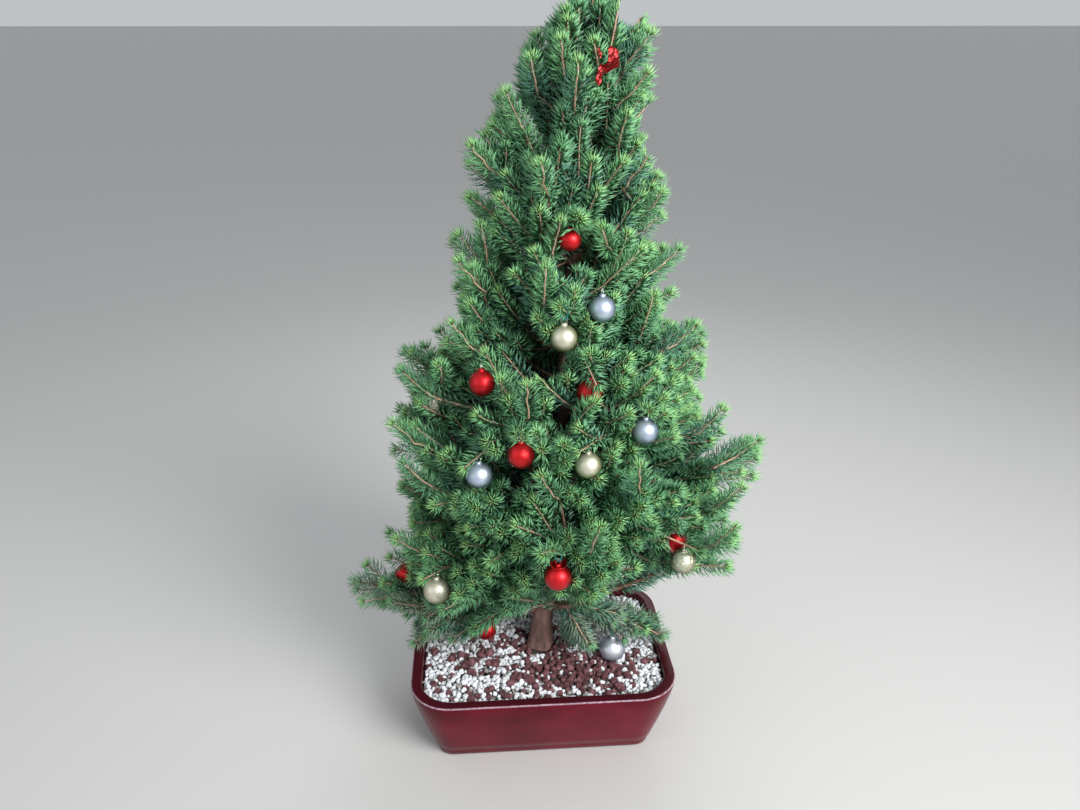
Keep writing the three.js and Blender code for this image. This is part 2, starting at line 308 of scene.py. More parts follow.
stonePaint = {
    "roughness": 0.85,
    "mottling": (190, 900),
    # Painted shade in the stones' pits: the colour is darkened where the fine grain is low
    "pitShade": (0.32, 0.46, 0.6, 1),
    "kinds": {  # name, patches, size of the bump in metres
        "bed": ("gritDust", [(0.3, (0.040, 0.031, 0.028)), (0.7, (0.110, 0.090, 0.084))], 0.0008),
        "pumice": (
            "pumice",
            [(0.30, (0.62, 0.63, 0.64)), (0.50, (0.80, 0.83, 0.88)), (0.75, (0.92, 0.94, 0.98))],
            0.0006,
        ),
        "grey": (
            "greyStone",
            [(0.30, (0.17, 0.155, 0.15)), (0.50, (0.32, 0.30, 0.295)), (0.75, (0.48, 0.46, 0.46))],
            0.0006,
        ),
        "lava": (
            "lavaRock",
            [
                (0.30, (0.050, 0.016, 0.019)),
                (0.50, (0.135, 0.048, 0.056)),
                (0.75, (0.310, 0.155, 0.172)),
            ],
            0.0008,
        ),
    },
}


def makeStone(name, patches, bumpSize):
    material, shader, tree, mottle = startPaint(
        name, patches[0][1], stonePaint["roughness"], stonePaint["mottling"]
    )
    colour = addRamp(tree, mottle["Patch"], patches)
    # Painted shade in the pits: the fine grain darkens the colour
    pitShade = spread(tree, mottle["Grain"], *stonePaint["pitShade"])
    shaded = addNode(tree, "ShaderNodeMix", data_type="RGBA", blend_type="MULTIPLY")
    shaded.inputs[0].default_value = 1
    tree.links.new(colour, shaded.inputs[6])
    tree.links.new(pitShade, shaded.inputs[7])
    tree.links.new(shaded.outputs[2], shader.inputs["Base Color"])
    addBump(tree, shader, mottle["Grain"], bumpSize)
    return material


barkPaint = {
    "tint": (0.13, 0.08, 0.06),
    "roughness": 0.85,
    "mottling": (75, 420, (1, 1, 0.4)),
    "patches": [
        (0.30, (0.055, 0.031, 0.028)),
        (0.45, (0.150, 0.082, 0.073)),
        (0.58, (0.235, 0.130, 0.112)),
        (0.72, (0.340, 0.215, 0.190)),
    ],
    "young": ((0.20, 0.085, 0.045), (0.46, 0.25, 0.14)),
    "bump": 0.0008,
}


def makeBark():
    material, shader, tree, mottle = startPaint(
        "flakyBark", barkPaint["tint"], barkPaint["roughness"], barkPaint["mottling"]
    )
    old = addRamp(tree, mottle["Patch"], barkPaint["patches"])
    young = mixColours(tree, mottle["Grain"], *barkPaint["young"])
    colour = mixColours(tree, readAttribute(tree, "young"), old, young)
    tree.links.new(colour, shader.inputs["Base Color"])
    addBump(tree, shader, mottle["Grain"], barkPaint["bump"])
    return material


twigPaint = {
    "roughness": 0.7,
    "mottling": (60, 500),
    "patch": (0.35, 0.65),
    "kinds": {  # name, dark, light
        "branchBark": ("branchBark", (0.13, 0.075, 0.050), (0.30, 0.190, 0.125)),
        "shootBark": ("shootBark", (0.38, 0.230, 0.145), (0.64, 0.450, 0.330)),
        "bud": ("budScales", (0.34, 0.190, 0.080), (0.52, 0.330, 0.150)),
    },
}


def makeTwigBark(name, dark, light):
    material, shader, tree, mottle = startPaint(
        name, light, twigPaint["roughness"], twigPaint["mottling"]
    )
    share = spread(tree, mottle["Patch"], *twigPaint["patch"])
    tree.links.new(mixColours(tree, share, dark, light), shader.inputs["Base Color"])
    return material


satinPaint = {
    "roughness": 0.3,
    "metallic": 0.75,
    "coat": 0.2,
    "coatRoughness": 0.2,
    "mottling": (45, 1600),
    "patch": (0.3, 0.7),
    # Where the painted dark reflection round the edge begins and where it is full
    "facing": (0.12, 0.8),
    "sheen": (0.36, 0.46),
    "bump": 0.00012,
    # Each edge tint is a painted dark reflection, deepest where the shell turns away
    "kinds": {  # name, dark, light, edge, and how much rougher it is
        "red": ("redShell", (0.46, 0.004, 0.010), (0.74, 0.016, 0.022), (0.26, 0.002, 0.006)),
        "silver": ("silverShell", (0.42, 0.50, 0.64), (0.60, 0.67, 0.80), (0.13, 0.18, 0.27)),
        # A lighter copy of the silver paint: painted light, for a low ball that lies in the crown's
        # shade
        "pearl": ("pearlShell", (0.66, 0.72, 0.82), (0.86, 0.88, 0.94), (0.30, 0.36, 0.46)),
        "champagne": ("champagneShell", (0.62, 0.59, 0.43), (0.80, 0.76, 0.65), (0.22, 0.22, 0.09)),
        "gold": ("swirledGoldShell", (0.40, 0.41, 0.28), (0.66, 0.67, 0.54), (0.16, 0.18, 0.08), 0.06),
        "foil": (
            "crumpledFoil", (0.14, 0.004, 0.005), (0.44, 0.014, 0.014), (0.10, 0.002, 0.002), -0.12
        ),
    },
}


def makeSatinShell(name, dark, light, edge, rougher=0.0):
    # The pearly paint of the ornaments: a metal-like coat whose colour drifts a little, with a
    # painted dark reflection that deepens it where it turns away
    material, shader, tree, mottle = startPaint(
        name, light, satinPaint["roughness"], satinPaint["mottling"], satinPaint["metallic"]
    )
    shader.inputs["Coat Weight"].default_value = satinPaint["coat"]
    shader.inputs["Coat Roughness"].default_value = satinPaint["coatRoughness"]
    share = spread(tree, mottle["Patch"], *satinPaint["patch"])
    facing = addNode(tree, "ShaderNodeLayerWeight", {"Blend": 0.5}).outputs["Facing"]
    body = mixColours(tree, share, dark, light)
    # Painted dark reflection: the edge tint where the shell turns away
    colour = mixColours(tree, spread(tree, facing, *satinPaint["facing"]), body, edge)
    tree.links.new(colour, shader.inputs["Base Color"])
    sheen = [value + rougher for value in satinPaint["sheen"]]
    rough = spread(tree, mottle["Grain"], *satinPaint["patch"], *sheen)
    tree.links.new(rough, shader.inputs["Roughness"])
    addBump(tree, shader, mottle["Grain"], satinPaint["bump"])
    return material


plainPaint = {  # name, colour, roughness, metallic
    "deep": ("deepNeedles", (0.042, 0.110, 0.066), 0.42),
    "blue": ("blueNeedles", (0.100, 0.265, 0.185), 0.42),
    "mid": ("midNeedles", (0.112, 0.305, 0.150), 0.42),
    "fresh": ("freshNeedles", (0.170, 0.425, 0.190), 0.42),
    "bright": ("brightNeedles", (0.300, 0.580, 0.215), 0.42),
    "pale": ("paleNeedles", (0.250, 0.350, 0.250), 0.42),
    "wire": ("silverWire", (0.78, 0.76, 0.70), 0.22, 1.0),
    "tie": ("tealTie", (0.012, 0.170, 0.140), 0.4),
    "foilEdge": ("foilEdge", (0.42, 0.24, 0.13), 0.35, 0.6),
}

groups = {"mottle": mottleGroup()}
paint = {"glaze": makeGlaze(), "bark": makeBark()}
for makePaint, kinds in (
    (makeStone, stonePaint["kinds"]),
    (makeTwigBark, twigPaint["kinds"]),
    (makeSatinShell, satinPaint["kinds"]),
):
    paint.update({kind: makePaint(*values) for kind, values in kinds.items()})
paint.update({kind: newMaterial(*values)[0] for kind, values in plainPaint.items()})

makeCamera()
makeLights()
makeFloor()
report("camera, lights and floor")


# Modelling helpers

def leaveEdit():
    bpy.ops.object.mode_set(mode="OBJECT")


def clearSelection():
    if bpy.context.object and bpy.context.object.mode != "OBJECT":
        leaveEdit()
    bpy.ops.object.select_all(action="DESELECT")


def editAll():
    bpy.ops.object.mode_set(mode="EDIT")
    bpy.ops.mesh.select_all(action="SELECT")


def faceOutward():
    bpy.ops.mesh.select_all(action="SELECT")
    bpy.ops.mesh.normals_make_consistent(inside=False)


def applyPlace():
    bpy.ops.object.transform_apply(location=True, rotation=True, scale=True)


def makeActive(piece):
    clearSelection()
    piece.select_set(True)
    bpy.context.view_layer.objects.active = piece


def joinAll(parts):
    clearSelection()
    for part in parts:
        part.select_set(True)
    bpy.context.view_layer.objects.active = parts[0]
    bpy.ops.object.join()
    return bpy.context.object


def applyModifier(piece, name, kind, **settings):
    makeActive(piece)
    modifier = piece.modifiers.new(name, kind)
    for key, value in settings.items():
        setattr(modifier, key, value)
    bpy.ops.object.modifier_apply(modifier=modifier.name)


def selectWhere(kind, test):
    # In edit mode: selects the faces, edges or vertices that pass the test
    mesh = bmesh.from_edit_mesh(bpy.context.object.data)
    bpy.ops.mesh.select_all(action="DESELECT")
    bpy.ops.mesh.select_mode(type={"faces": "FACE", "edges": "EDGE", "verts": "VERT"}[kind])
    for element in getattr(mesh, kind):
        if test(element):
            element.select = True
    mesh.select_flush_mode()
    bmesh.update_edit_mesh(bpy.context.object.data)


def giveTo(piece, materialName, standsFor):
    piece.data.materials.append(paint[materialName])
    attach(piece, "root")
    if standsFor:
        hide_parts(*standsFor)
    return piece


def finishPiece(piece, name, materialName, smoothBelow=None, standsFor=()):
    makeActive(piece)
    applyPlace()
    piece.name = piece.data.name = name
    piece.data.materials.clear()
    if smoothBelow is not None:
        bpy.ops.object.shade_smooth_by_angle(angle=math.radians(smoothBelow))
    return giveTo(piece, materialName, standsFor)


def meshPiece(name, points, faces, materialName, smooth=True, standsFor=()):
    # Many small shapes as one mesh, from arrays in millimetres
    mesh = bpy.data.meshes.new(name)
    mesh.vertices.add(len(points))
    mesh.vertices.foreach_set("co", (points * mm).astype(np.float32).ravel())
    mesh.loops.add(faces.size)
    mesh.loops.foreach_set("vertex_index", faces.astype(np.int32).ravel())
    mesh.polygons.add(len(faces))
    mesh.polygons.foreach_set("loop_start", np.arange(0, faces.size, faces.shape[1], dtype=np.int32))
    mesh.polygons.foreach_set("use_smooth", np.full(len(faces), smooth))
    mesh.update(calc_edges=True)
    piece = bpy.data.objects.new(name, mesh)
    bpy.context.scene.collection.objects.link(piece)
    return giveTo(piece, materialName, standsFor)


def paintAttribute(piece, name, values):
    attribute = piece.data.attributes.new(name, "FLOAT", "POINT")
    attribute.data.foreach_set("value", np.asarray(values, np.float32))


def pointsOf(piece):
    points = np.zeros(len(piece.data.vertices) * 3, np.float32)
    piece.data.vertices.foreach_get("co", points)
    return points.reshape(-1, 3) / mm


# Pot

pot = {
    "length": 248,
    "depth": 178,
    "height": 78,
    "cornerRadius": 38,
    "cornerSegments": 10,
    "cornerPerInset": 0.8,  # how much tighter the corners get with the inset
    "footHeight": 10,
    "wallInset": 20,
    "wallSwell": 1.2,
    "wallLip": 76,
    "wallTop": 72,
    "wallSteps": 10,
    "rimWidth": 10,
    "rimRound": 2,
    "rimSegments": 5,
    "wallThickness": 9,
    "floorThickness": 9,
    "innerLow": 16,  # where the inner wall begins to curve into the floor
    "innerSteps": 7,
    "innerCurve": [(4, 12), (9, 9)],  # inset past the inner wall's, height
    "footProfile": [(21, 9), (21.6, 7), (23, 2), (25, 0)],  # inset from the rim's outline, height
    "smoothBelow": 38,
}

# Where the glaze is worn and painted lit, or shaded: millimetres below the rim's top, from its
# outline inwards, and from the outer wall inwards. The pale line round the rim's outer edge is
# partly wear and partly a painted highlight; the darker rim top is a painted dark reflection,
# and the darker upper inner wall is painted shade.
potWearAndLight = {
    "wornLitBelow": (1.6, 0.9),
    "wornLitInset": (0.6, 1.2),
    "shadedBelow": (1.5, 0.1),
    "shadedInset": (0.7, 1.8),
    "shadedInside": (6.5, 7.5),
    "insideFrom": 40,
    "shade": 0.8,
}


def outerInset(z):
    share = (z - pot["footHeight"]) / (pot["wallLip"] - pot["footHeight"])
    return pot["wallInset"] * (1 - min(share, 1)) ** pot["wallSwell"]


def innerInset(z):
    thicker = (pot["rimWidth"] - pot["wallThickness"]) * z / pot["height"]
    return outerInset(z) + pot["wallThickness"] + thicker


def outlineInset(x, y):
    radius = pot["cornerRadius"]
    dx = abs(x) - (pot["length"] / 2 - radius)
    dy = abs(y) - (pot["depth"] / 2 - radius)
    if dx > 0 and dy > 0:
        return radius - math.hypot(dx, dy)
    return radius - max(dx, dy)


def roundedShell(profile, faceDown):
    # A rounded rectangle at the profile's first height, then inset step by step to the last.
    # Each profile entry is the inset from the rim's outline and the height.
    inset, z = profile[0]
    bpy.ops.mesh.primitive_plane_add(size=1, location=(0, 0, z * mm))
    plate = bpy.context.object
    plate.scale = ((pot["length"] - 2 * inset) * mm, (pot["depth"] - 2 * inset) * mm, 1)
    applyPlace()
    editAll()
    if faceDown:
        bpy.ops.mesh.flip_normals()
    radius = (pot["cornerRadius"] - inset * pot["cornerPerInset"]) * mm
    bpy.ops.mesh.bevel(offset=radius, segments=pot["cornerSegments"], affect="VERTICES")
    bpy.ops.mesh.select_all(action="SELECT")
    facing = -1 if faceDown else 1
    for nextInset, nextZ in profile[1:]:
        bpy.ops.mesh.inset(
            thickness=(nextInset - inset) * mm, depth=(nextZ - z) * facing * mm, use_boundary=True
        )
        inset, z = nextInset, nextZ
    leaveEdit()
    return plate


def paintWearHighlightAndShade(vessel):
    points = pointsOf(vessel)
    below = pot["height"] - points[:, 2]
    inset = np.array([outlineInset(x, y) for x, y in points[:, :2]])
    inside = inset - np.array([outerInset(min(z, pot["wallLip"])) for z in points[:, 2]])
    # A pale line round the rim's outer edge: partly wear, partly a painted highlight
    wear = blendStep(below, *potWearAndLight["wornLitBelow"]) * (1 - blendStep(inset, *potWearAndLight["wornLitInset"]))
    # Painted dark reflection on the rim's top, then painted shade on the upper inner wall
    shade = blendStep(below, *potWearAndLight["shadedBelow"]) * blendStep(inset, *potWearAndLight["shadedInset"])
    isHigh = points[:, 2] > potWearAndLight["insideFrom"]
    shade = np.maximum(shade, blendStep(inside, *potWearAndLight["shadedInside"]) * isHigh)
    paintAttribute(vessel, "wear", wear)
    paintAttribute(vessel, "rimShade", shade * potWearAndLight["shade"])


def makePot():
    clearSelection()
    heights = np.linspace(pot["wallTop"], pot["footHeight"], pot["wallSteps"])
    outside = [(0, pot["height"])] + [(outerInset(z), z) for z in heights] + pot["footProfile"]
    heights = np.linspace(pot["height"], pot["innerLow"], pot["innerSteps"])
    lowest = innerInset(pot["innerLow"])
    inner = [(innerInset(z), z) for z in heights]
    inner += [(lowest + inset, z) for inset, z in pot["innerCurve"]]
    vessel = joinAll([roundedShell(outside, True), roundedShell(inner, False)])
    bpy.ops.object.mode_set(mode="EDIT")
    selectWhere("edges", lambda e: e.is_boundary)
    bpy.ops.mesh.bridge_edge_loops()
    top = pot["height"] * mm
    selectWhere(  # the rim's two upper edges, between its flat top and its sides
        "edges",
        lambda e: all(abs(v.co.z - top) < hair * mm for v in e.verts)
        and any(abs(f.normal.z) < steepFace for f in e.link_faces)
        and any(abs(f.normal.z) > flatFace for f in e.link_faces),
    )
    bpy.ops.mesh.bevel(offset=pot["rimRound"] * mm, segments=pot["rimSegments"], affect="EDGES")
    faceOutward()
    leaveEdit()
    paintWearHighlightAndShade(vessel)
    return finishPiece(vessel, "glazedPot", "glaze", pot["smoothBelow"], ["pot"])


potPiece = makePot()
report(f"pot, {len(potPiece.data.polygons)} faces")


# Grit: a dark bed, covered by pumice round the edge and lava rock in the middle front

grit = {
    "seed": 11,
    "edgeDepth": 8,
    "mound": 3,
    "shoulder": 0.6,  # how much of the mound's height is reached there
    "seam": 0.7,
    "shoulderInset": 22,
    "topInset": 42,
    "underSteps": 5,
    "underFloorInset": 9,
    "weld": 0.2,
    "smoothBelow": 40,
    "shapes": 9,
    "blockSize": 1.55,
    "jitter": 0.5,
    "stretch": (1.0, 0.84, 0.7),
    "chamfer": 0.24,
    "pumiceRadius": (2.1, 4.1),
    "greyRadius": (1.9, 3.4),
    "lavaRadius": (3.2, 6.2),
    "smallerShare": 1.5,  # the higher, the more of the stones are small
    "tries": 45000,
    "packing": 0.60,  # how close two stones may lie, in sums of their radii
    "wallGap": 0.8,  # in radii
    "trunkGap": 0.3,
    "lifted": 0.32,
    "uneven": (-1.2, 0.9),
    "lavaPatches": [  # middle, half sizes, share of lava there
        ((28, -42), (66, 30), 0.92),
        ((66, -30), (34, 24), 0.72),
        ((-62, -26), (44, 22), 0.55),
        ((-88, -56), (22, 12), 0.30),
        ((-6, 4), (46, 28), 0.60),
        ((10, -66), (90, 14), 0.50),
    ],
    "patchFade": (0.55, 1.15),
    "strayLava": 0.05,
    "greyShare": 0.2,
}
grit["edge"] = pot["height"] - grit["edgeDepth"]
grit["top"] = grit["edge"] + grit["mound"]


def bedHeight(x, y):
    inset = outlineInset(x, y) - innerInset(grit["edge"])
    rise = np.interp(inset, [0, grit["shoulderInset"], grit["topInset"]], [0, grit["shoulder"], 1])
    return grit["edge"] + grit["mound"] * rise


def stoneShapes():
    # Broken stones modelled once each: a block with its corners pushed about and chamfered
    shapes = []
    for index in range(grit["shapes"]):
        clearSelection()
        bpy.ops.mesh.primitive_cube_add(size=grit["blockSize"])
        stone = bpy.context.object
        editAll()
        bpy.ops.transform.vertex_random(offset=grit["jitter"], seed=index + 1)
        bpy.ops.transform.resize(value=grit["stretch"], center_override=(0, 0, 0))
        bpy.ops.mesh.bevel(offset=grit["chamfer"], segments=1, affect="EDGES")
        bpy.ops.mesh.quads_convert_to_tris()
        leaveEdit()
        points = pointsOf(stone) * mm
        faces = np.array([list(face.vertices) for face in stone.data.polygons])
        shapes.append((points, faces))
        bpy.data.objects.remove(stone)
    return shapes


def randomTurn(random):
    quaternion = unit(random.normal(size=4))
    w, x, y, z = quaternion
    return np.array(
        [
            [1 - 2 * (y * y + z * z), 2 * (x * y - z * w), 2 * (x * z + y * w)],
            [2 * (x * y + z * w), 1 - 2 * (x * x + z * z), 2 * (y * z - x * w)],
            [2 * (x * z - y * w), 2 * (y * z + x * w), 1 - 2 * (x * x + y * y)],
        ]
    )


def joinCopies(copies):
    points, faces, start = [], [], 0
    for shapePoints, shapeFaces in copies:
        points.append(shapePoints)
        faces.append(shapeFaces + start)
        start += len(shapePoints)
    return np.concatenate(points), np.concatenate(faces)


def makeBed():
    edge, seam = grit["edge"], grit["seam"]
    first = innerInset(edge) + seam
    top = [
        (first, edge),
        (first + grit["shoulderInset"], edge + grit["mound"] * grit["shoulder"]),
        (first + grit["topInset"], grit["top"]),
    ]
    heights = np.linspace(edge, pot["innerLow"], grit["underSteps"])
    under = [(innerInset(z) + seam, z) for z in heights]
    lowest = innerInset(pot["innerLow"]) + grit["underFloorInset"]
    under.append((lowest, pot["floorThickness"] + seam))
    under[0] = top[0]
    clearSelection()
    bed = joinAll([roundedShell(top, False), roundedShell(under, True)])
    editAll()
    bpy.ops.mesh.remove_doubles(threshold=grit["weld"] * mm)
    leaveEdit()
    finishPiece(bed, "gritBed", "bed", grit["smoothBelow"], ["soil"])


def pickStone(x, y, random):
    share = grit["strayLava"]
    for (midX, midY), (halfX, halfY), most in grit["lavaPatches"]:
        away = math.hypot((x - midX) / halfX, (y - midY) / halfY)
        share = max(share, most * float(1 - blendStep(away, *grit["patchFade"])))
    if random.random() < share:
        return "lava"
    return "grey" if random.random() < grit["greyShare"] else "pumice"


def makeGrit():
    random = np.random.default_rng(grit["seed"])
    makeBed()
    shapes = stoneShapes()
    cell = 2 * grit["lavaRadius"][1]
    taken = {}
    placed = {"pumice": [], "grey": [], "lava": []}
    wall = innerInset(grit["edge"])
    foot = trunkPoint(grit["top"])
    footRadius = trunkRadius(grit["top"])
    reach = np.array([pot["length"] / 2, pot["depth"] / 2]) - wall
    for attempt in range(grit["tries"]):
        x, y = random.uniform(-reach, reach)
        kind = pickStone(x, y, random)
        small, large = grit[kind + "Radius"]
        early = 1 - attempt / grit["tries"]
        radius = small + (large - small) * random.random() ** grit["smallerShare"] * early
        if outlineInset(x, y) < wall + radius * grit["wallGap"]:
            continue
        if math.hypot(x - foot[0], y - foot[1]) < footRadius + radius * grit["trunkGap"]:
            continue
        spot = (int(x // cell), int(y // cell))
        nearby = [
            other
            for i in (-1, 0, 1)
            for j in (-1, 0, 1)
            for other in taken.get((spot[0] + i, spot[1] + j), ())
        ]
        if any(
            math.hypot(x - ox, y - oy) < grit["packing"] * (radius + r) for ox, oy, r in nearby
        ):
            continue
        taken.setdefault(spot, []).append((x, y, radius))
        points, faces = shapes[int(random.integers(len(shapes)))]
        lift = radius * grit["lifted"] + random.uniform(*grit["uneven"])
        centre = np.array([x, y, bedHeight(x, y) + lift])
        placed[kind].append((points @ randomTurn(random).T * radius + centre, faces))
    for kind, copies in placed.items():
        points, faces = joinCopies(copies)
        meshPiece(kind + "Stones", points, faces, kind, smooth=False)
        report(f"{len(copies)} {kind} stones, {len(faces)} faces")


# Trunk and limbs

trunk = {
    "top": 672,
    "soilTop": 73,
    "foot": 73.35,
    "tip": 663,
    "leanPerMm": 0.072,
    "leanBearing": -6,
    "sway": 3.5,
    "swayTurns": 1.2,
    "acrossSway": 2.1,
    "acrossTurns": 1.65,
    "baseRadius": 10.5,
    "tipRadius": 1.1,
    "taper": 0.86,
    "flareRadius": 5,
    "flareHeight": 16,
    "flareRidges": 4,
    "ridgeDepth": 0.14,
    "sides": 16,
    "ringGap": 12,
    "footRings": [4, 8],
    "youngBark": (430, 620),
    "plates": ("barkPlates", "VORONOI", 7, 1.5, 2.2),  # size, strength, stretch
    "lumps": ("barkLumps", "CLOUDS", 12, 1.6, 1.5),
    "smoothBelow": 60,
}

limbSizes = {
    "sag": 0.3,
    "rootRadius": 4.6,
    "endRadius": 2.6,
    "thinnerPerMmUp": 0.006,
    "massStart": {"bough": 0.3, "upper": 0.06},  # where a limb enters its mass
    "taperEnd": {"bough": 0.42, "upper": 0.3},
    "taper": 0.8,
    "tipRadius": 0.85,
    "sides": 7,
    "stations": 12,
    "span": (0.015, 0.91),
    "collar": 0.5,  # how much wider a limb is at the trunk
    "collarFade": 22,
    "youngRadii": (3.2, 1.1),
    "youngLeast": 0.25,
    "lumps": ("limbLumps", "CLOUDS", 6, 0.9),
}


def trunkPoint(z):
    rise = z - trunk["soilTop"]
    share = rise / (trunk["top"] - trunk["soilTop"])
    along = trunk["leanPerMm"] * rise
    along += trunk["sway"] * math.sin(share * 2 * math.pi * trunk["swayTurns"]) * share
    across = trunk["acrossSway"] * math.sin(share * 2 * math.pi * trunk["acrossTurns"])
    turn = math.radians(trunk["leanBearing"])
    return np.array(
        [
            along * math.cos(turn) - across * math.sin(turn),
            along * math.sin(turn) + across * math.cos(turn),
            z,
        ]
    )


def trunkRadius(z):
    share = min((z - trunk["foot"]) / (trunk["tip"] - trunk["foot"]), 1)
    taper = (trunk["baseRadius"] - trunk["tipRadius"]) * (1 - share) ** trunk["taper"]
    flare = trunk["flareRadius"] * math.exp((trunk["foot"] - z) / trunk["flareHeight"])
    return trunk["tipRadius"] + taper + flare


# One entry for each tier of foliage, from the pot upwards: limbs leave the trunk at
# rootHeight and end at tipHeight, reach mm out, on these bearings from +X towards +Y
tiers = {
    "skirt": (116, 156, 156, [4, 62, 122, 183, 240, 300]),
    "low": (166, 230, 156, [-18, 34, 92, 160, 214, 272]),
    "waist": (232, 306, 140, [-8, 54, 114, 174, 234, 294]),
    "middle": (302, 380, 112, [4, 84, 176, 242, 306]),
    "upper": (384, 456, 78, [-4, 90, 184, 266]),
    "high": (458, 528, 60, [-26, 50, 168, 236]),
    "neck": (530, 590, 42, [10, 128, 240]),
    "crest": (588, 638, 31, [-10, 108, 216]),
}
boughTiers = ("skirt", "low", "waist")
regions = {
    "low": ("skirt", "low"),
    "middle": ("waist", "middle"),
    "top": ("upper", "high", "neck", "crest", "leader"),
}

# Limbs that differ from their tier
ownSizes = {
    "skirt_left": {"reach": 184, "tipHeight": 166},
    "skirt_right": {"reach": 148, "tipHeight": 164},
    "skirt_front_left": {"rootHeight": 128, "reach": 88, "tipHeight": 206},
    "skirt_front_right": {"rootHeight": 122, "reach": 84, "tipHeight": 190},
    "low_right": {"reach": 168, "tipHeight": 224},
    "low_left": {"reach": 132, "tipHeight": 236},
    "low_front_left": {"reach": 142, "tipHeight": 240},
    "low_front": {"rootHeight": 176, "reach": 132, "tipHeight": 272},
    "waist_right": {"reach": 176, "tipHeight": 300},
    "waist_left": {"reach": 138, "tipHeight": 318},
    "middle_right": {"reach": 118, "tipHeight": 398},
    "middle_left": {"reach": 136, "tipHeight": 386},
    "upper_right": {"reach": 72, "tipHeight": 470},
    "upper_left": {"reach": 88, "tipHeight": 452},
    "high_left": {"reach": 84, "tipHeight": 548},
}
compass = ["right", "back_right", "back", "back_left", "left", "front_left", "front", "front_right"]


def limbLine(limb, shares):
    # The limb's curve from the trunk's middle to its mass's outer end, with a sag
    root = trunkPoint(limb["rootHeight"])
    tip = trunkPoint(limb["tipHeight"]) + limb["reach"] * outward(math.radians(limb["bearing"]))
    middle = (root + tip) / 2
    middle[2] -= limbSizes["sag"] * (limb["tipHeight"] - limb["rootHeight"])
    return curve(root, middle, tip, shares)


def listLimbs():
    limbs = []
    for tier, (rootHeight, tipHeight, reach, bearings) in tiers.items():
        for bearing in bearings:
            name = tier + "_" + compass[round(bearing / 360 * len(compass)) % len(compass)]
            limb = {"rootHeight": rootHeight, "tipHeight": tipHeight, "reach": reach}
            limb.update(ownSizes.get(name, {}), name=name, tier=tier, bearing=bearing)
            limb["kind"] = "bough" if tier in boughTiers else "upper"
            limb["massStart"] = limbSizes["massStart"][limb["kind"]]
            limbs.append(limb)
    return limbs


def limbRadius(limb, share):
    thinner = limbSizes["thinnerPerMmUp"] * (limb["rootHeight"] - tiers["skirt"][0])
    end = limbSizes["taperEnd"][limb["kind"]]
    root, boughEnd = limbSizes["rootRadius"] - thinner, limbSizes["endRadius"] - thinner / 2
    if share < end:
        return root + (boughEnd - root) * share / end
    onward = (share - end) / (1 - end)
    return boughEnd + (limbSizes["tipRadius"] - boughEnd) * onward ** limbSizes["taper"]


def growTube(points, radii, sides, capTurn):
    # A disc, extruded from point to point and scaled to each radius, as by hand
    clearSelection()
    bpy.ops.mesh.primitive_circle_add(
        vertices=sides,
        radius=radii[0] * mm,
        fill_type="NGON",
        location=points[0] * mm,
        rotation=capTurn,
    )
    tube = bpy.context.object
    applyPlace()
    editAll()
    for index in range(1, len(points)):
        step = (points[index] - points[index - 1]) * mm
        bpy.ops.mesh.extrude_region_move(TRANSFORM_OT_translate={"value": step})
        bpy.ops.transform.resize(
            value=[radii[index] / radii[index - 1]] * 3, center_override=points[index] * mm
        )
    faceOutward()
    leaveEdit()
    return tube


def roughen(piece, name, kind, size, strength, stretch=1.0):
    # Relief from a procedural pattern, longer than wide where it is stretched
    texture = bpy.data.textures.new(name, kind)
    if kind != "MAGIC":
        texture.noise_scale = 1
    if kind == "VORONOI":
        texture.distance_metric = "DISTANCE_SQUARED"
        texture.weight_1, texture.weight_2 = -1.0, 1.0
    handle = bpy.data.objects.new(name, None)
    handle.scale = (size * mm, size * mm, size * stretch * mm)
    bpy.context.scene.collection.objects.link(handle)
    bpy.context.view_layer.update()
    place = {"texture": texture, "texture_coords": "OBJECT", "texture_coords_object": handle}
    applyModifier(piece, name, "DISPLACE", **place, strength=strength * mm, mid_level=0.5)
    bpy.data.objects.remove(handle)
    bpy.data.textures.remove(texture)


def makeStem():
    # The trunk: its flared foot has ridges, and its bark is younger towards the tip
    heights = list(np.arange(trunk["foot"], trunk["tip"], trunk["ringGap"]))
    heights[1:1] = [trunk["foot"] + rise for rise in trunk["footRings"]]
    points = [trunkPoint(z) for z in heights] + [trunkPoint(trunk["tip"])]
    radii = [trunkRadius(point[2]) for point in points]
    stem = growTube(points, radii, trunk["sides"], (0, 0, 0))
    corners = pointsOf(stem)
    for vertex, (x, y, z) in zip(stem.data.vertices, corners):
        middle = trunkPoint(z)
        angle = math.atan2(y - middle[1], x - middle[0])
        fade = math.exp((trunk["foot"] - z) / trunk["flareHeight"])
        ridge = 1 + trunk["ridgeDepth"] * fade * math.sin(angle * trunk["flareRidges"])
        flat = middle[:2] + (np.array([x, y]) - middle[:2]) * ridge
        vertex.co = Vector((*flat, z)) * mm
    paintAttribute(stem, "young", blendStep(corners[:, 2], *trunk["youngBark"]))
    applyModifier(stem, "smooth", "SUBSURF", levels=2, render_levels=2)
    roughen(stem, *trunk["plates"])
    roughen(stem, *trunk["lumps"])
    return stem


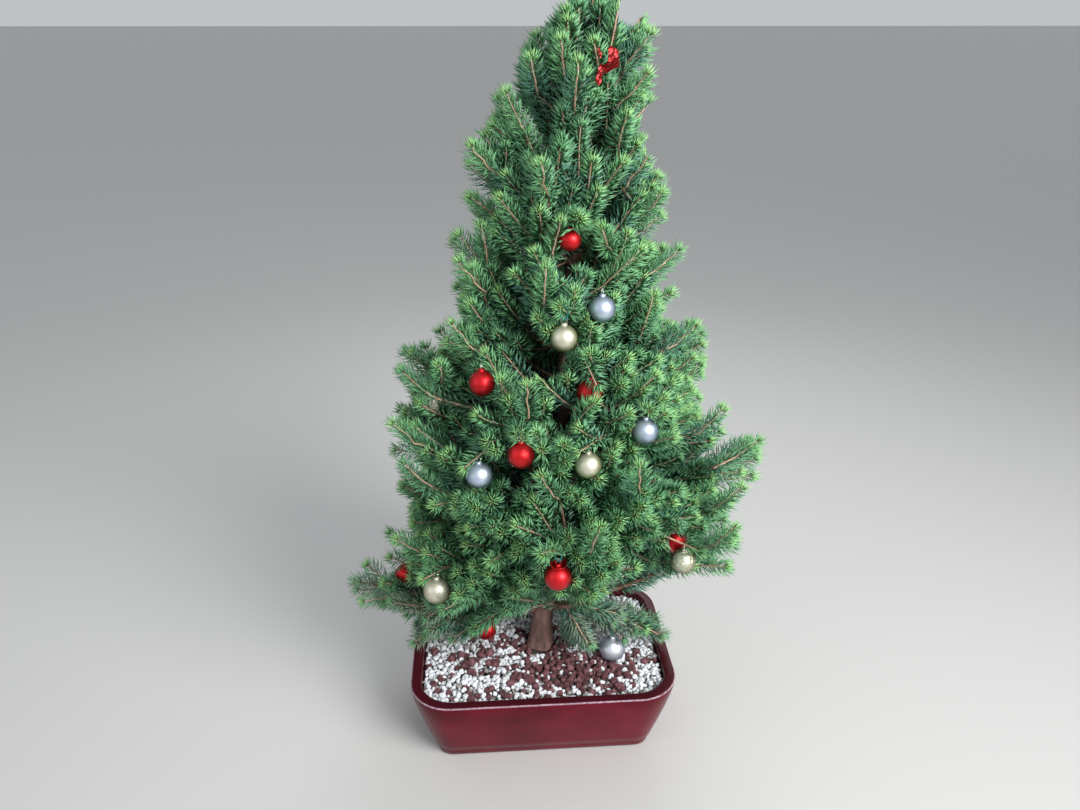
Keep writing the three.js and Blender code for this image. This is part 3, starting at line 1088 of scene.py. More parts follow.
def makeLimb(limb):
    shares = np.linspace(*limbSizes["span"], limbSizes["stations"])
    points = limbLine(limb, shares)
    radii = np.array([limbRadius(limb, share) for share in shares])
    wider = 1 + limbSizes["collar"] * np.exp(-shares * limbSizes["collarFade"])
    turn = Vector(points[-1] - points[0]).to_track_quat("Z", "Y").to_euler()
    tube = growTube(points, list(radii * wider), limbSizes["sides"], turn)
    near = np.linalg.norm(pointsOf(tube)[:, None] - points[None], axis=2).argmin(axis=1)
    young = blendStep(radii[near], *limbSizes["youngRadii"])
    paintAttribute(tube, "young", np.maximum(young, limbSizes["youngLeast"]))
    return tube


def makeBarkMesh(limbs):
    stem = makeStem()
    wood = joinAll([makeLimb(limb) for limb in limbs])
    applyModifier(wood, "smooth", "SUBSURF", levels=1, render_levels=1)
    roughen(wood, *limbSizes["lumps"])
    bark = joinAll([stem, wood])
    standsFor = ["trunk"] + ["bough_" + limb["name"] for limb in limbs if limb["kind"] == "bough"]
    return finishPiece(bark, "barkedWood", "bark", trunk["smoothBelow"], standsFor)


makeGrit()
limbs = listLimbs()
barkPiece = makeBarkMesh(limbs)
report(f"trunk and {len(limbs)} limbs, {len(barkPiece.data.polygons)} faces")


# The crown's masses, as walls that the growth stays inside

def readMass(name):
    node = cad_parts["mass_" + name]
    faces = [list(face.vertices) for face in node.data.polygons]
    return BVHTree.FromPolygons(pointsOf(node).tolist(), faces)


massTrees = {name: readMass(name) for name in [limb["name"] for limb in limbs] + ["leader"]}


def roomAlong(tree, point, heading):
    # How far a shoot can go from the point until it leaves its mass. The line goes on a hair
    # past a wall by which it enters.
    origin, travelled = Vector(point), 0.0
    for _ in range(3):
        hit, normal, _, distance = tree.ray_cast(origin, Vector(heading))
        if hit is None:
            return travelled
        travelled += distance
        if normal.dot(Vector(heading)) > 0:
            return travelled
        origin = hit + Vector(heading) * hair
    return travelled


def pixelRay(x, y):
    camera = bpy.context.scene.camera
    right, up = x - view["imageWidth"] / 2, view["imageHeight"] / 2 - y
    local = Vector((right / view["focal"], up / view["focal"], -1))
    heading = camera.matrix_world.to_quaternion() @ local
    return np.array(camera.location) / mm, unit(np.array(heading))


# Ornaments: what hangs where. Pixels are of the 1080 x 810 picture. Each ornament sits where
# the line of sight reaches the given share of the crown's radius, or at the given height.

ornament = {
    "width": 20.5,
    "nestle": 0.80,
    "capHeight": 1.5,
    "loopWidth": 5.0,
    "hookSunk": 0.8,  # how far below the loop's top its twig runs
    "tieLift": 5.5,
    "viewDepth": 90,
    "needleGap": 0.8,
    "cleared": 0.84,  # of its width, that no needle in front of it crosses
    "hangs": [
        ("red", (570, 240), {"nestle": 0.70, "cleared": 0.3, "width": 17}),
        ("silver", (602, 309), {}),
        ("champagne", (564, 338), {"tie": True}),
        ("red", (482, 383), {}),
        ("gold", (434, 405), {"nestle": 0.74, "cleared": 0.4}),
        ("red", (590, 392), {"nestle": 0.70, "cleared": 0.1}),
        ("silver", (645, 431), {}),
        ("red", (521, 455), {}),
        ("champagne", (588, 465), {"nestle": 0.76}),
        ("silver", (479, 475), {}),
        ("red", (558, 577), {"nestle": 0.84, "width": 21.5, "tie": True, "collar": True}),
        ("champagne", (437, 590), {"width": 23.5}),
        ("red", (406, 574), {"nestle": 0.74, "cleared": 0.15}),
        ("red", (675, 541), {"nestle": 0.74, "cleared": 0.5}),
        ("gold", (683, 561), {"nestle": 0.84, "cleared": 0.7}),
        ("red", (486, 629), {"height": 98, "cleared": 0.1}),
        # This ball takes the lighter silver copy: painted light for the crown's shade on it
        ("pearl", (612, 648), {"height": 86, "width": 25, "tie": True}),
    ],
    "foil": (607, 64),
    "foilShare": 0.86,
    "behind": [  # finish, bearing from +X towards +Y, height
        ("red", 52, 262),
        ("silver", 112, 318),
        ("champagne", 138, 236),
        ("red", 92, 424),
        ("gold", 24, 196),
        ("silver", 74, 176),
        ("red", 116, 160),
    ],
    "behindShare": 0.86,
}

# Gaps in the crown that show its inside: pixel, width that no stem crosses, how far in they
# reach, and width that no needle crosses either
gaps = {
    "depth": 200,
    "at": [
        ((564, 266), 19, 0.30, 10.5),
        ((544, 368), 24, 0.45, 13.2),
        ((562, 414), 23, 0.50, 12.7),
        ((520, 390), 20, 0.50, 0),
        ((622, 404), 18, 0.55, 0),
        ((655, 484), 18, 0.62, 0),
        ((545, 150), 18, 0.30, 0),
        ((606, 204), 18, 0.40, 0),
        ((500, 262), 18, 0.50, 0),
    ],
}

# Notches in the crown's outline where the sky shows: pixel, width in millimetres
notches = {
    "sky": [((634, 6), 20), ((659, 118), 25), ((658, 142), 16)],
    "behindCrown": 150,
    "depth": 400,
    "trunkHeights": (84, 102),  # the trunk's foot shows between these
    "trunkWidth": 22,
    "trunkAside": -5,
    "trunkDepth": 150,
    "overCollar": 2,  # a ball with a collar is seen clear of needles round it
    "collarWidth": 13,
    "collarDepth": 90,
}

# The crown's face: how far from the trunk's line it lies on the right and on the left
crown = {
    "heights": [90, 126, 160, 216, 258, 300, 337, 365, 401, 449, 510, 548, 590, 619, 640, 657, 672],
    "right": [120, 134, 172, 178, 170, 178, 136, 130, 108, 84, 68, 58, 48, 46, 38, 16, 5],
    "left": [122, 152, 186, 146, 146, 158, 158, 150, 118, 98, 94, 98, 84, 72, 50, 30, 8],
    "sightLine": (400, 900, 1.5),  # from the camera, in millimetres
}


def exposure(point):
    # 0 at the trunk, 1 at the crown's face
    middle = trunkPoint(min(point[2], trunk["top"]))
    away = point - middle
    distance = math.hypot(away[0], away[1])
    right = np.interp(point[2], crown["heights"], crown["right"])
    left = np.interp(point[2], crown["heights"], crown["left"])
    lean = away[0] / distance if distance > 0 else 0.0
    return float(distance / ((right + left) / 2 + (right - left) / 2 * lean))


def pointAtHeight(pixel, height):
    origin, heading = pixelRay(*pixel)
    return origin + heading * (height - origin[2]) / heading[2]


def pointInCrown(pixel, share):
    # Where the line of sight reaches this share of the crown's radius, or comes nearest to it
    origin, heading = pixelRay(*pixel)
    points = origin + heading * np.arange(*crown["sightLine"])[:, None]
    shares = np.array([exposure(point) for point in points])
    return points[np.argmax(shares < share) if shares.min() < share else shares.argmin()]


def clearView(middle, width, depth):
    return {"middle": middle, "width": width, "cleared": 1.0, "depth": depth}


def placeGaps(ofNeedles=False):
    placed = []
    for pixel, width, share, bareWidth in gaps["at"]:
        clear = bareWidth if ofNeedles else width
        placed.append(clearView(pointInCrown(pixel, share), clear, gaps["depth"]))
    return [spot for spot in placed if spot["width"]]


def placeNotches():
    # Lines of sight that stay clear: beside the crown's outline, to the trunk's foot, and to
    # the ball with a collar
    clear = []
    for pixel, width in notches["sky"]:
        heading = pixelRay(*pixel)[1]
        middle = pointInCrown(pixel, 0) + heading * notches["behindCrown"]
        clear.append(clearView(middle, width, notches["depth"]))
    for height in notches["trunkHeights"]:
        middle = trunkPoint(height) + np.array([notches["trunkAside"], 0, 0])
        clear.append(clearView(middle, notches["trunkWidth"], notches["trunkDepth"]))
    for hanger in hangers:
        if hanger.get("collar"):
            middle = hanger["middle"] + upward * (hanger["width"] / 2 + notches["overCollar"])
            clear.append(clearView(middle, notches["collarWidth"], notches["collarDepth"]))
    return clear


def placeHangers():
    hangers = []
    for finish, pixel, own in ornament["hangs"]:
        hanger = {"finish": finish, "tie": False}
        hanger.update({key: ornament[key] for key in ("width", "nestle", "cleared")})
        hanger.update(own)
        if "height" in own:
            hanger["middle"] = pointAtHeight(pixel, own["height"])
        else:
            hanger["middle"] = pointInCrown(pixel, hanger["nestle"])
        hangers.append(hanger)
    for finish, bearing, height in ornament["behind"]:
        out = outward(math.radians(bearing))
        reach = 1 / exposure(trunkPoint(height) + out)
        hanger = {"finish": finish, "tie": False, "width": ornament["width"], "cleared": 0.0}
        hanger["middle"] = trunkPoint(height) + out * reach * ornament["behindShare"]
        hangers.append(hanger)
    for hanger in hangers:
        loop = ornament["capHeight"] + ornament["loopWidth"] - ornament["hookSunk"]
        tie = ornament["tieLift"] if hanger["tie"] else 0.0
        hanger["hook"] = hanger["middle"] + upward * (hanger["width"] / 2 + loop + tie)
        hanger["depth"] = ornament["viewDepth"]
    return hangers


# Growth: branches leave each limb, shoots leave the branches, and needles dress both

growth = {
    "seed": 5,
    "pullHeights": [80, 130, 190, 260, 340, 460, 560, 640, 672],
    "pullDegrees": [-16, -4, 12, 26, 38, 48, 56, 70, 84],
    "pull": 1.1,
    "wander": 0.10,
    "spiral": 137.5,
    "spiralNoise": 0.2,
    "unevenGaps": (0.75, 1.25),
    "lowest": 104,
    "lowAcross": [-90, -50, 0, 50, 90],  # the crown's lower face from left to right
    "lowHeights": [106, 112, 121, 136, 146],
    "lowSlack": 5,
    "frontRise": 0.744,
    "frontHighest": 236,
    "probeStep": 4.0,
    "probeFarthest": 100,
    "ornamentGap": 1.5,
    "onAxis": 1,  # no way out is told nearer to the trunk's middle
    "uprightBelow": 0.05,  # a stem this steep has no upper side
    "bareInside": 0.20,
    "bareBelow": 600,
    "shownExposure": 0.8,  # stems that the picture shows count as at least this far out
    "bareFoot": {True: 0.06, False: 0.14},  # no needles nearer the trunk; if it hangs, or not
}

branch = {
    "gap": (15.0, 9.0),  # along a limb, at its foot and at its tip
    "gapGrows": 0.3,  # so much wider towards these heights
    "gapHeights": (400, 600),
    "longest": 112,
    "shortest": 18,
    "uneven": (0.8, 1.1),
    "angle": (60, 40),  # from the limb, at its foot and at its tip
    "angleNoise": 7,
    "turnUp": 0.25,
    "pull": 0.4,
    "steps": 5,
    "radius": (1.6, 1.0),
    "ragged": (0.88, 1.12),  # how unevenly branches end at the crown's face
    "leading": 0.85,  # of the longest shoot, kept free for the one at its end
    "endGap": 6,
}

shoot = {
    "gap": 15.0,
    "first": 9.0,
    "longest": 64,
    "shortest": 20,
    "uneven": (0.6, 1.1),
    "shorterToTip": 0.3,
    "angle": (48, 34),
    "angleNoise": 6,
    "spread": (50, 105),  # to the branch's sides
    "turnUp": 0.35,
    "lift": (-12, 30),  # how far a shoot's own way is above or below the pull
    "pull": 0.7,
    "steps": 4,
    "radius": (1.0, 0.52),
    "ragged": (0.80, 1.05),
    "tipInset": 6.0,  # needles reach past a shoot's end
    "endGap": 4,
    "leader": (0.8, 1.05),
    "leaderLeast": 15,
    "forkSpin": 0.4,
    "forkSpread": 0.9,
    "fork": (0.55, 0.8),
}

# Where a limb's growth may leave its mass, in shares of the crown's face
faceShares = {"limb": 0.86, "filler": 0.95, "leader": 0.95, "hanger": 0.95}

limbGrowth = {
    "outer": (0.5, 0.95, 12),  # the part that is dressed as a shoot
    "line": (0, 0.9, 33),
    "pastTrunk": 6,
}

# Thinner limbs between the tiers close the crown
fillers = {
    "heights": (130, 606),
    "gaps": (6.2, 12.5),  # at the lowest and at the highest
    "firstTurn": 0.6,
    "highestTip": 664,
    "reachShare": (0.55, 0.8),
    "firstShare": 0.40,
    "sag": 0.2,
    "steps": 16,
    "radius": (1.9, 0.9),
}

leader = {
    "spineFrom": 604,
    "spineBelowTip": 3,
    "spinePoints": 9,
    "spineRadius": (1.2, 0.8),
    "whorls": (596, 648, 8.0),
    "longest": 46,
}

random = np.random.default_rng(growth["seed"])
spiralTurn = math.radians(growth["spiral"])
hangers = placeHangers()
clearViews = placeNotches()
openings = placeGaps() + clearViews
clearViews += placeGaps(ofNeedles=True)
foilMiddle = pointInCrown(ornament["foil"], ornament["foilShare"])
stems = []  # every branch and shoot: its line, radii, kind, region, and how far out it lies


def pullAt(point, lift=0.0):
    # The way that shoots turn at this place: out from the trunk, and the higher the steeper
    middle = trunkPoint(min(point[2], trunk["top"]))
    out = point - middle
    out[2] = 0
    length = np.linalg.norm(out)
    out = out / length if length > growth["onAxis"] else np.array([1.0, 0, 0])
    rise = math.radians(np.interp(point[2], growth["pullHeights"], growth["pullDegrees"]) + lift)
    return out * math.cos(rise) + upward * math.sin(rise)


def lowFace(point):
    # The crown's lower face: it rises towards the front, and hangs lower on the left
    height = np.interp(point[0], growth["lowAcross"], growth["lowHeights"])
    height -= growth["frontRise"] * point[1]
    return max(growth["lowest"], min(height, growth["frontHighest"]))


def roomInCrown(point, heading, face):
    distance = growth["probeStep"]
    while distance < growth["probeFarthest"]:
        ahead = point + heading * distance
        if ahead[2] < lowFace(ahead) or exposure(ahead) > face:
            break
        distance += growth["probeStep"]
    return distance - growth["probeStep"]


def roomFor(tree, point, heading, face):
    # A shoot may go to its mass's wall, or on between the masses inside the crown's face
    own = roomAlong(tree, point, heading) if tree is not None else 0.0
    return max(own, roomInCrown(point, heading, face)) - shoot["tipInset"]


def growLine(start, heading, length, steps, pull, lift=0.0):
    points = [start]
    for _ in range(steps):
        heading = heading + pullAt(points[-1], lift) * pull / steps
        heading = unit(heading + random.normal(size=3) * growth["wander"] / math.sqrt(steps))
        points.append(points[-1] + heading * length / steps)
    return np.array(points)


def growTowards(start, end, sag, steps):
    middle = (start + end) / 2 - upward * sag
    return curve(start, middle, end, np.linspace(0, 1, steps + 1))


def sideways(along, azimuth):
    # A direction across a stem: azimuth 0 is its upper side
    up = upward - along * along[2]
    size = np.linalg.norm(up)
    up = up / size if size > growth["uprightBelow"] else np.array([1.0, 0, 0])
    side = np.cross(along, up)
    return up * math.cos(azimuth) + side * math.sin(azimuth)


def leaving(along, angle, azimuth):
    return along * math.cos(angle) + sideways(along, azimuth) * math.sin(angle)


def angleAt(part, share):
    # The angle at which a part leaves its stem, which changes from the stem's foot to its tip
    low, high = part["angle"]
    return math.radians(low + (high - low) * share + random.normal() * part["angleNoise"])


def lengthOf(line):
    return float(np.linalg.norm(np.diff(line, axis=0), axis=1).sum())


def pointOn(line, share):
    spot = share * (len(line) - 1)
    index = min(int(spot), len(line) - 2)
    step = line[index + 1] - line[index]
    return line[index] + step * (spot - index), unit(step)


def inFront(points, spot):
    away = points - spot["middle"]
    ahead = unit(np.array(view["eye"], float) - spot["middle"])
    reach = away @ ahead
    aside = np.linalg.norm(away - reach[:, None] * ahead, axis=1)
    return (reach > 0) & (reach < spot["depth"]) & (aside < spot["width"] / 2 * spot["cleared"])


def isBlocked(points, hanging):
    # Too low, in an ornament, or where the picture shows a gap or an ornament
    for hanger in hangers:
        gap = np.linalg.norm(points[1:] - hanger["middle"], axis=1).min()
        if gap < hanger["width"] / 2 + growth["ornamentGap"]:
            return True
    if hanging:
        return False
    if any(p[2] < lowFace(p) - growth["lowSlack"] for p in points[len(points) // 2 :]):
        return True
    return any(inFront(points, spot).any() for spot in openings + hangers)


def addStem(points, radii, kind, region, hanging=False):
    # Hanging stems stand where the picture shows them, whatever else is there
    if isBlocked(points, hanging):
        return False
    outer = exposure(points[-1])
    bare = outer < growth["bareInside"] and points[-1][2] < growth["bareBelow"]
    if kind == "shoot" and not hanging and bare:
        return False
    stem = {"points": points, "radii": radii, "kind": kind, "region": region}
    stem["exposure"] = max(outer, growth["shownExposure"]) if hanging else outer
    stem["bareFoot"] = growth["bareFoot"][hanging]
    stems.append(stem)
    return True


def growShoot(foot, heading, longest, grower, least=0.0):
    face = grower["face"] * random.uniform(*shoot["ragged"])
    room = roomFor(grower["tree"], foot, heading, face)
    length = max(min(longest, room), least)
    if length > shoot["shortest"] or least:
        lift = random.uniform(*shoot["lift"])
        pull = growth["pull"] * shoot["pull"]
        line = growLine(foot, heading, length, shoot["steps"], pull, lift)
        addStem(line, shoot["radius"], "shoot", grower["region"])


def growSideShoots(line, first, grower):
    # Shoots left and right of a branch, shorter towards its tip
    total = lengthOf(line)
    place = first
    side = random.choice([-1, 1])
    while place < total - shoot["endGap"]:
        share = place / total
        foot, along = pointOn(line, share)
        azimuth = side * math.radians(random.uniform(*shoot["spread"]))
        heading = leaving(along, angleAt(shoot, share), azimuth)
        heading = unit(heading + pullAt(foot) * shoot["turnUp"])
        shorter = 1 - shoot["shorterToTip"] * share
        longest = shoot["longest"] * shorter * random.uniform(*shoot["uneven"])
        growShoot(foot, heading, longest, grower)
        place += shoot["gap"] * random.uniform(*growth["unevenGaps"])
        side = -side


def growTip(line, grower):
    # The end of a branch: its leading shoot, and two beside it
    foot, along = pointOn(line, 1.0)
    longest = shoot["longest"] * random.uniform(*shoot["leader"])
    growShoot(foot, along, longest, grower, shoot["leaderLeast"])
    spin = random.uniform(-shoot["forkSpin"], shoot["forkSpin"])
    for side in (-1, 1):
        heading = unit(along + sideways(along, side * math.pi / 2 + spin) * shoot["forkSpread"])
        growShoot(foot, heading, shoot["longest"] * random.uniform(*shoot["fork"]), grower)


def growBranches(line, first, grower):
    total = lengthOf(line)
    place = first
    turn = random.uniform(0, 2 * math.pi)
    while place < total - branch["endGap"]:
        share = place / total
        foot, along = pointOn(line, share)
        heading = leaving(along, angleAt(branch, share), turn)
        heading = unit(heading + pullAt(foot) * branch["turnUp"])
        room = roomFor(grower["tree"], foot, heading, grower["face"])
        leading = shoot["longest"] * branch["leading"]
        if room > leading + branch["shortest"]:
            growBranch(foot, heading, room, leading, grower)
        else:
            growShoot(foot, heading, shoot["longest"], grower)
        turn += spiralTurn + random.normal() * growth["spiralNoise"]
        gap = branch["gap"][0] + (branch["gap"][1] - branch["gap"][0]) * share
        gap *= 1 + branch["gapGrows"] * float(blendStep(foot[2], *branch["gapHeights"]))
        place += gap * random.uniform(*growth["unevenGaps"])
    growTip(line, grower)


def growBranch(foot, heading, room, leading, grower):
    length = min(room, branch["longest"] * random.uniform(*branch["uneven"])) - leading
    line = growLine(foot, heading, length, branch["steps"], growth["pull"] * branch["pull"])
    if addStem(line, branch["radius"], "branch", grower["region"]):
        grower = {**grower, "face": grower["face"] * random.uniform(*branch["ragged"])}
        growSideShoots(line, shoot["first"], grower)
        growTip(line, grower)


def regionOf(tier):
    return next(region for region, names in regions.items() if tier in names)


def growLimb(limb):
    region = regionOf(limb["tier"])
    grower = {"tree": massTrees[limb["name"]], "region": region, "face": faceShares["limb"]}
    outer = limbLine(limb, np.linspace(*limbGrowth["outer"]))
    addStem(outer, shoot["radius"], "shoot", region, True)
    line = limbLine(limb, np.linspace(*limbGrowth["line"]))
    clear = trunkRadius(limb["rootHeight"]) + limbGrowth["pastTrunk"]
    growBranches(line, max(limb["massStart"] * lengthOf(line), clear), grower)


def growFillers():
    roots = [tier[0] for tier in tiers.values()]
    rises = [tier[1] - tier[0] for tier in tiers.values()]
    reaches = [tier[2] for tier in tiers.values()]
    turn, height = fillers["firstTurn"], fillers["heights"][0]
    while height < fillers["heights"][1]:
        part = random.uniform(*fillers["reachShare"])
        reach = np.interp(height, roots, reaches) * part
        rise = np.interp(height, roots, rises) * part
        tip = trunkPoint(min(height + rise, fillers["highestTip"])) + outward(turn) * reach
        line = growTowards(trunkPoint(height), tip, fillers["sag"] * rise, fillers["steps"])
        tier = list(tiers)[int(np.searchsorted(roots, height, side="right")) - 1]
        grower = {"tree": None, "region": regionOf(tier), "face": faceShares["filler"]}
        if addStem(line, fillers["radius"], "branch", grower["region"]):
            growBranches(line, fillers["firstShare"] * lengthOf(line), grower)
        turn += spiralTurn
        height += np.interp(height, fillers["heights"], fillers["gaps"])


def growLeader():
    # The leading shoot, and whorls that stand closer to it the higher they are
    grower = {"tree": massTrees["leader"], "region": "top", "face": faceShares["leader"]}
    top = trunk["tip"] - leader["spineBelowTip"]
    heights = np.linspace(leader["spineFrom"], top, leader["spinePoints"])
    spine = np.array([trunkPoint(z) for z in heights])
    addStem(spine, leader["spineRadius"], "shoot", "top", True)
    turn = 0.0
    for height in np.arange(*leader["whorls"]):
        growShoot(trunkPoint(height), unit(outward(turn) + upward), leader["longest"], grower)
        turn += spiralTurn


# Low sprays that hang below the masses: the limb that each leaves and where, the pixel and
# height of its tip in the picture, or a plain point where the picture doesn't show it
lowSprays = [
    ("skirt_front_right", 0.30, (664, 634), 92),
    ("skirt_front_right", 0.40, (576, 638), 98),
    ("skirt_front_right", 0.62, (604, 620), 104),
    ("skirt_left", 0.50, (384, 602), 106),
    ("skirt_left", 0.38, (421, 634), 96),
    ("skirt_front_left", 0.45, (458, 634), 98),
    ("skirt_front_left", 0.34, (514, 606), 122),
    ("skirt_front_right", 0.34, (536, 603), 128),
    ("skirt_left", 0.34, (440, 622), 104),
    ("skirt_back_left", 0.45, (-88, 62, 100), None),
    ("skirt_back_left", 0.25, (-34, 50, 108), None),
    ("skirt_back_right", 0.25, (34, 56, 110), None),
    ("skirt_back_right", 0.45, (64, 84, 102), None),
    ("waist_back_left", 0.30, (-60, 72, 324), None),
    ("low_back", 0.30, (-49, 81, 222), None),
    ("low_back", 0.26, (-58, 62, 176), None),
]


lowSpray = {
    "bow": -0.1,
    "steps": 8,
    "woody": 3,  # steps of it that are a branch
    "twigsAt": (0.3, 0.45, 0.6, 0.75),
    "twigNoise": 0.05,
    "twigAzimuth": 1.5,
    "twigSpread": 0.8,
    "twigLift": 0.1,
    "twigLength": (18, 34),
    "twigShorter": (1.2, 0.6),
    "twigPull": 0.2,
    "lowestTwig": 84,
}


def growLowTwig(line, share, side):
    foot, along = pointOn(line, share + random.uniform(-lowSpray["twigNoise"], lowSpray["twigNoise"]))
    out = sideways(along, side * lowSpray["twigAzimuth"]) * lowSpray["twigSpread"]
    heading = unit(along + out + upward * lowSpray["twigLift"])
    most, lost = lowSpray["twigShorter"]
    length = random.uniform(*lowSpray["twigLength"]) * (most - share * lost)
    twig = growLine(foot, heading, length, shoot["steps"], lowSpray["twigPull"])
    if twig[:, 2].min() > lowSpray["lowestTwig"]:
        addStem(twig, shoot["radius"], "shoot", "low", True)


def growLowSprays():
    byName = {limb["name"]: limb for limb in limbs}
    for name, share, tip, height in lowSprays:
        start = limbLine(byName[name], [share])[0]
        tip = np.array(tip, float) if height is None else pointAtHeight(tip, height)
        bow = lowSpray["bow"] * np.linalg.norm(tip - start)
        line = growTowards(start, tip, bow, lowSpray["steps"])
        addStem(line[: lowSpray["woody"] + 1], branch["radius"], "branch", "low", True)
        addStem(line[lowSpray["woody"] :], shoot["radius"], "shoot", "low", True)
        for share in lowSpray["twigsAt"]:
            for side in (-1, 1):
                growLowTwig(line, share, side)


# Sprays that the picture shows plainly: the pixels of foot and tip, and how far out they lie
shownSprays = [
    ((584, 413), (541, 379), 0.50, 0.90),
    ((598, 414), (655, 376), 0.50, 0.96),
    ((597, 422), (628, 414), 0.55, 0.92),
    ((597, 402), (606, 334), 0.64, 0.96),
    ((543, 312), (546, 268), 0.62, 0.94),
    ((584, 296), (640, 250), 0.45, 0.96),
    ((638, 342), (653, 296), 0.60, 0.96),
    ((527, 420), (527, 386), 0.70, 0.96),
    ((549, 262), (560, 222), 0.62, 0.84),
    ((572, 118), (578, 62), 0.50, 0.92),
    ((566, 82), (561, 40), 0.50, 0.90),
    ((618, 76), (649, 34), 0.50, 1.04),
    ((614, 110), (647, 74), 0.50, 1.04),
    ((622, 188), (646, 158), 0.70, 1.04),
    ((646, 276), (678, 250), 0.80, 1.06),
    ((662, 350), (695, 326), 0.80, 1.06),
    ((690, 438), (722, 410), 0.80, 1.06),
    ((714, 468), (758, 441), 0.80, 1.06),
    ((702, 510), (741, 488), 0.80, 1.06),
    ((700, 548), (734, 528), 0.85, 1.06),
    ((494, 172), (472, 146), 0.80, 1.06),
    ((486, 292), (459, 262), 0.80, 1.06),
    ((478, 352), (452, 324), 0.80, 1.06),
    ((442, 400), (403, 372), 0.80, 1.06),
    ((434, 450), (393, 424), 0.80, 1.06),
    ((440, 490), (404, 464), 0.80, 1.06),
    ((438, 556), (397, 540), 0.80, 1.06),
    ((538, 96), (531, 58), 0.55, 0.92),
    ((548, 196), (541, 164), 0.62, 0.96),
    ((634, 222), (661, 193), 0.60, 1.04),
    ((560, 500), (541, 476), 0.70, 0.96),
    ((640, 500), (640, 466), 0.74, 0.97),
    ((585, 560), (600, 528), 0.76, 0.97),
    ((613, 252), (602, 228), 0.60, 0.88),
]


shownSpray = {
    "bow": 0.12,
    "steps": 6,
    "jitter": 0.7,
    "footSteps": 5,
    "clearAt": (2, 5),  # points of it that no other stem crosses
    "clearWidth": 22,
    "clearDepth": 120,
    "limbPart": (0.08, 0.9, 41),
    "limbBack": 5,
}

hangerTwig = {"past": 14, "steps": 10, "radius": (1.2, 0.6), "first": 6.0}


def nearestLimb(point):
    # The limb that passes nearest to the point, and a place on it a little way back
    lines = [limbLine(limb, np.linspace(*shownSpray["limbPart"])) for limb in limbs]
    away = [np.linalg.norm(line - point, axis=1) for line in lines]
    nearest = min(range(len(lines)), key=lambda i: away[i].min())
    place = max(int(away[nearest].argmin()) - shownSpray["limbBack"], 0)
    return regionOf(limbs[nearest]["tier"]), lines[nearest][place]


def growShownSprays():
    for foot, tip, inner, outer in shownSprays:
        base, end = pointInCrown(foot, inner), pointInCrown(tip, outer)
        region, start = nearestLimb(base)
        bow = shownSpray["bow"] * np.linalg.norm(end - base)
        line = growTowards(base, end, bow, shownSpray["steps"])
        line[1:-1] += random.normal(size=(len(line) - 2, 3)) * shownSpray["jitter"]
        wood = growTowards(start, base, 0.0, shownSpray["footSteps"])
        addStem(wood, branch["radius"], "branch", region, True)
        addStem(line, shoot["radius"], "shoot", region, True)
        for index in shownSpray["clearAt"]:
            openings.append(clearView(line[index], shownSpray["clearWidth"], shownSpray["clearDepth"]))


def growHangerTwigs():
    # Each ornament hangs on a twig that grows from the nearest limb and passes through its loop
    for hanger in hangers:
        region, start = nearestLimb(hanger["hook"])
        run = unit(hanger["hook"] - start)
        end = hanger["hook"] + run * hangerTwig["past"]
        twig = growTowards(start, end, 0.0, hangerTwig["steps"])
        hanger["twigAlong"] = run
        grower = {"tree": None, "region": region, "face": faceShares["hanger"]}
        addStem(twig, hangerTwig["radius"], "shoot", region, True)
        growSideShoots(twig, hangerTwig["first"], grower)


growShownSprays()
for limb in limbs:
    growLimb(limb)
growFillers()
growLeader()
growLowSprays()
growHangerTwigs()
report(f"{len(stems)} stems, {sum(s['kind'] == 'shoot' for s in stems)} of them shoots")


twigTube = {
    "reference": (0.31, 0.47, 0.83),  # a direction that no stem runs along
    "tipLength": 0.8,
    "sides": {"branch": 5, "shoot": 4},
    "bark": {"branch": "branchBark", "shoot": "shootBark"},
    "names": {"branch": "branches", "shoot": "shoots"},
}


def tubeArrays(points, radii, sides):
    # A closed tapering tube round a line: rings, and a point at each end
    count = len(points)
    along = unitRows(np.gradient(points, axis=0))
    across = unitRows(np.cross(along, np.array(twigTube["reference"])))
    other = np.cross(along, across)
    angles = np.arange(sides) / sides * 2 * math.pi
    radius = np.linspace(radii[0], radii[1], count)[:, None, None]
    rings = points[:, None] + radius * (
        across[:, None] * np.cos(angles)[None, :, None]
        + other[:, None] * np.sin(angles)[None, :, None]
    )
    end = points[-1:] + along[-1:] * twigTube["tipLength"]
    verts = np.concatenate([rings.reshape(-1, 3), points[:1], end])
    first, last = count * sides, count * sides + 1
    faces = []
    for ring in range(count - 1):
        for side in range(sides):
            a, b = ring * sides + side, ring * sides + (side + 1) % sides
            faces += [(a, b, b + sides), (a, b + sides, a + sides)]
    for side in range(sides):
        a, b = side, (side + 1) % sides
        faces.append((first, b, a))
        faces.append((last, (count - 1) * sides + a, (count - 1) * sides + b))
    return verts, np.array(faces)


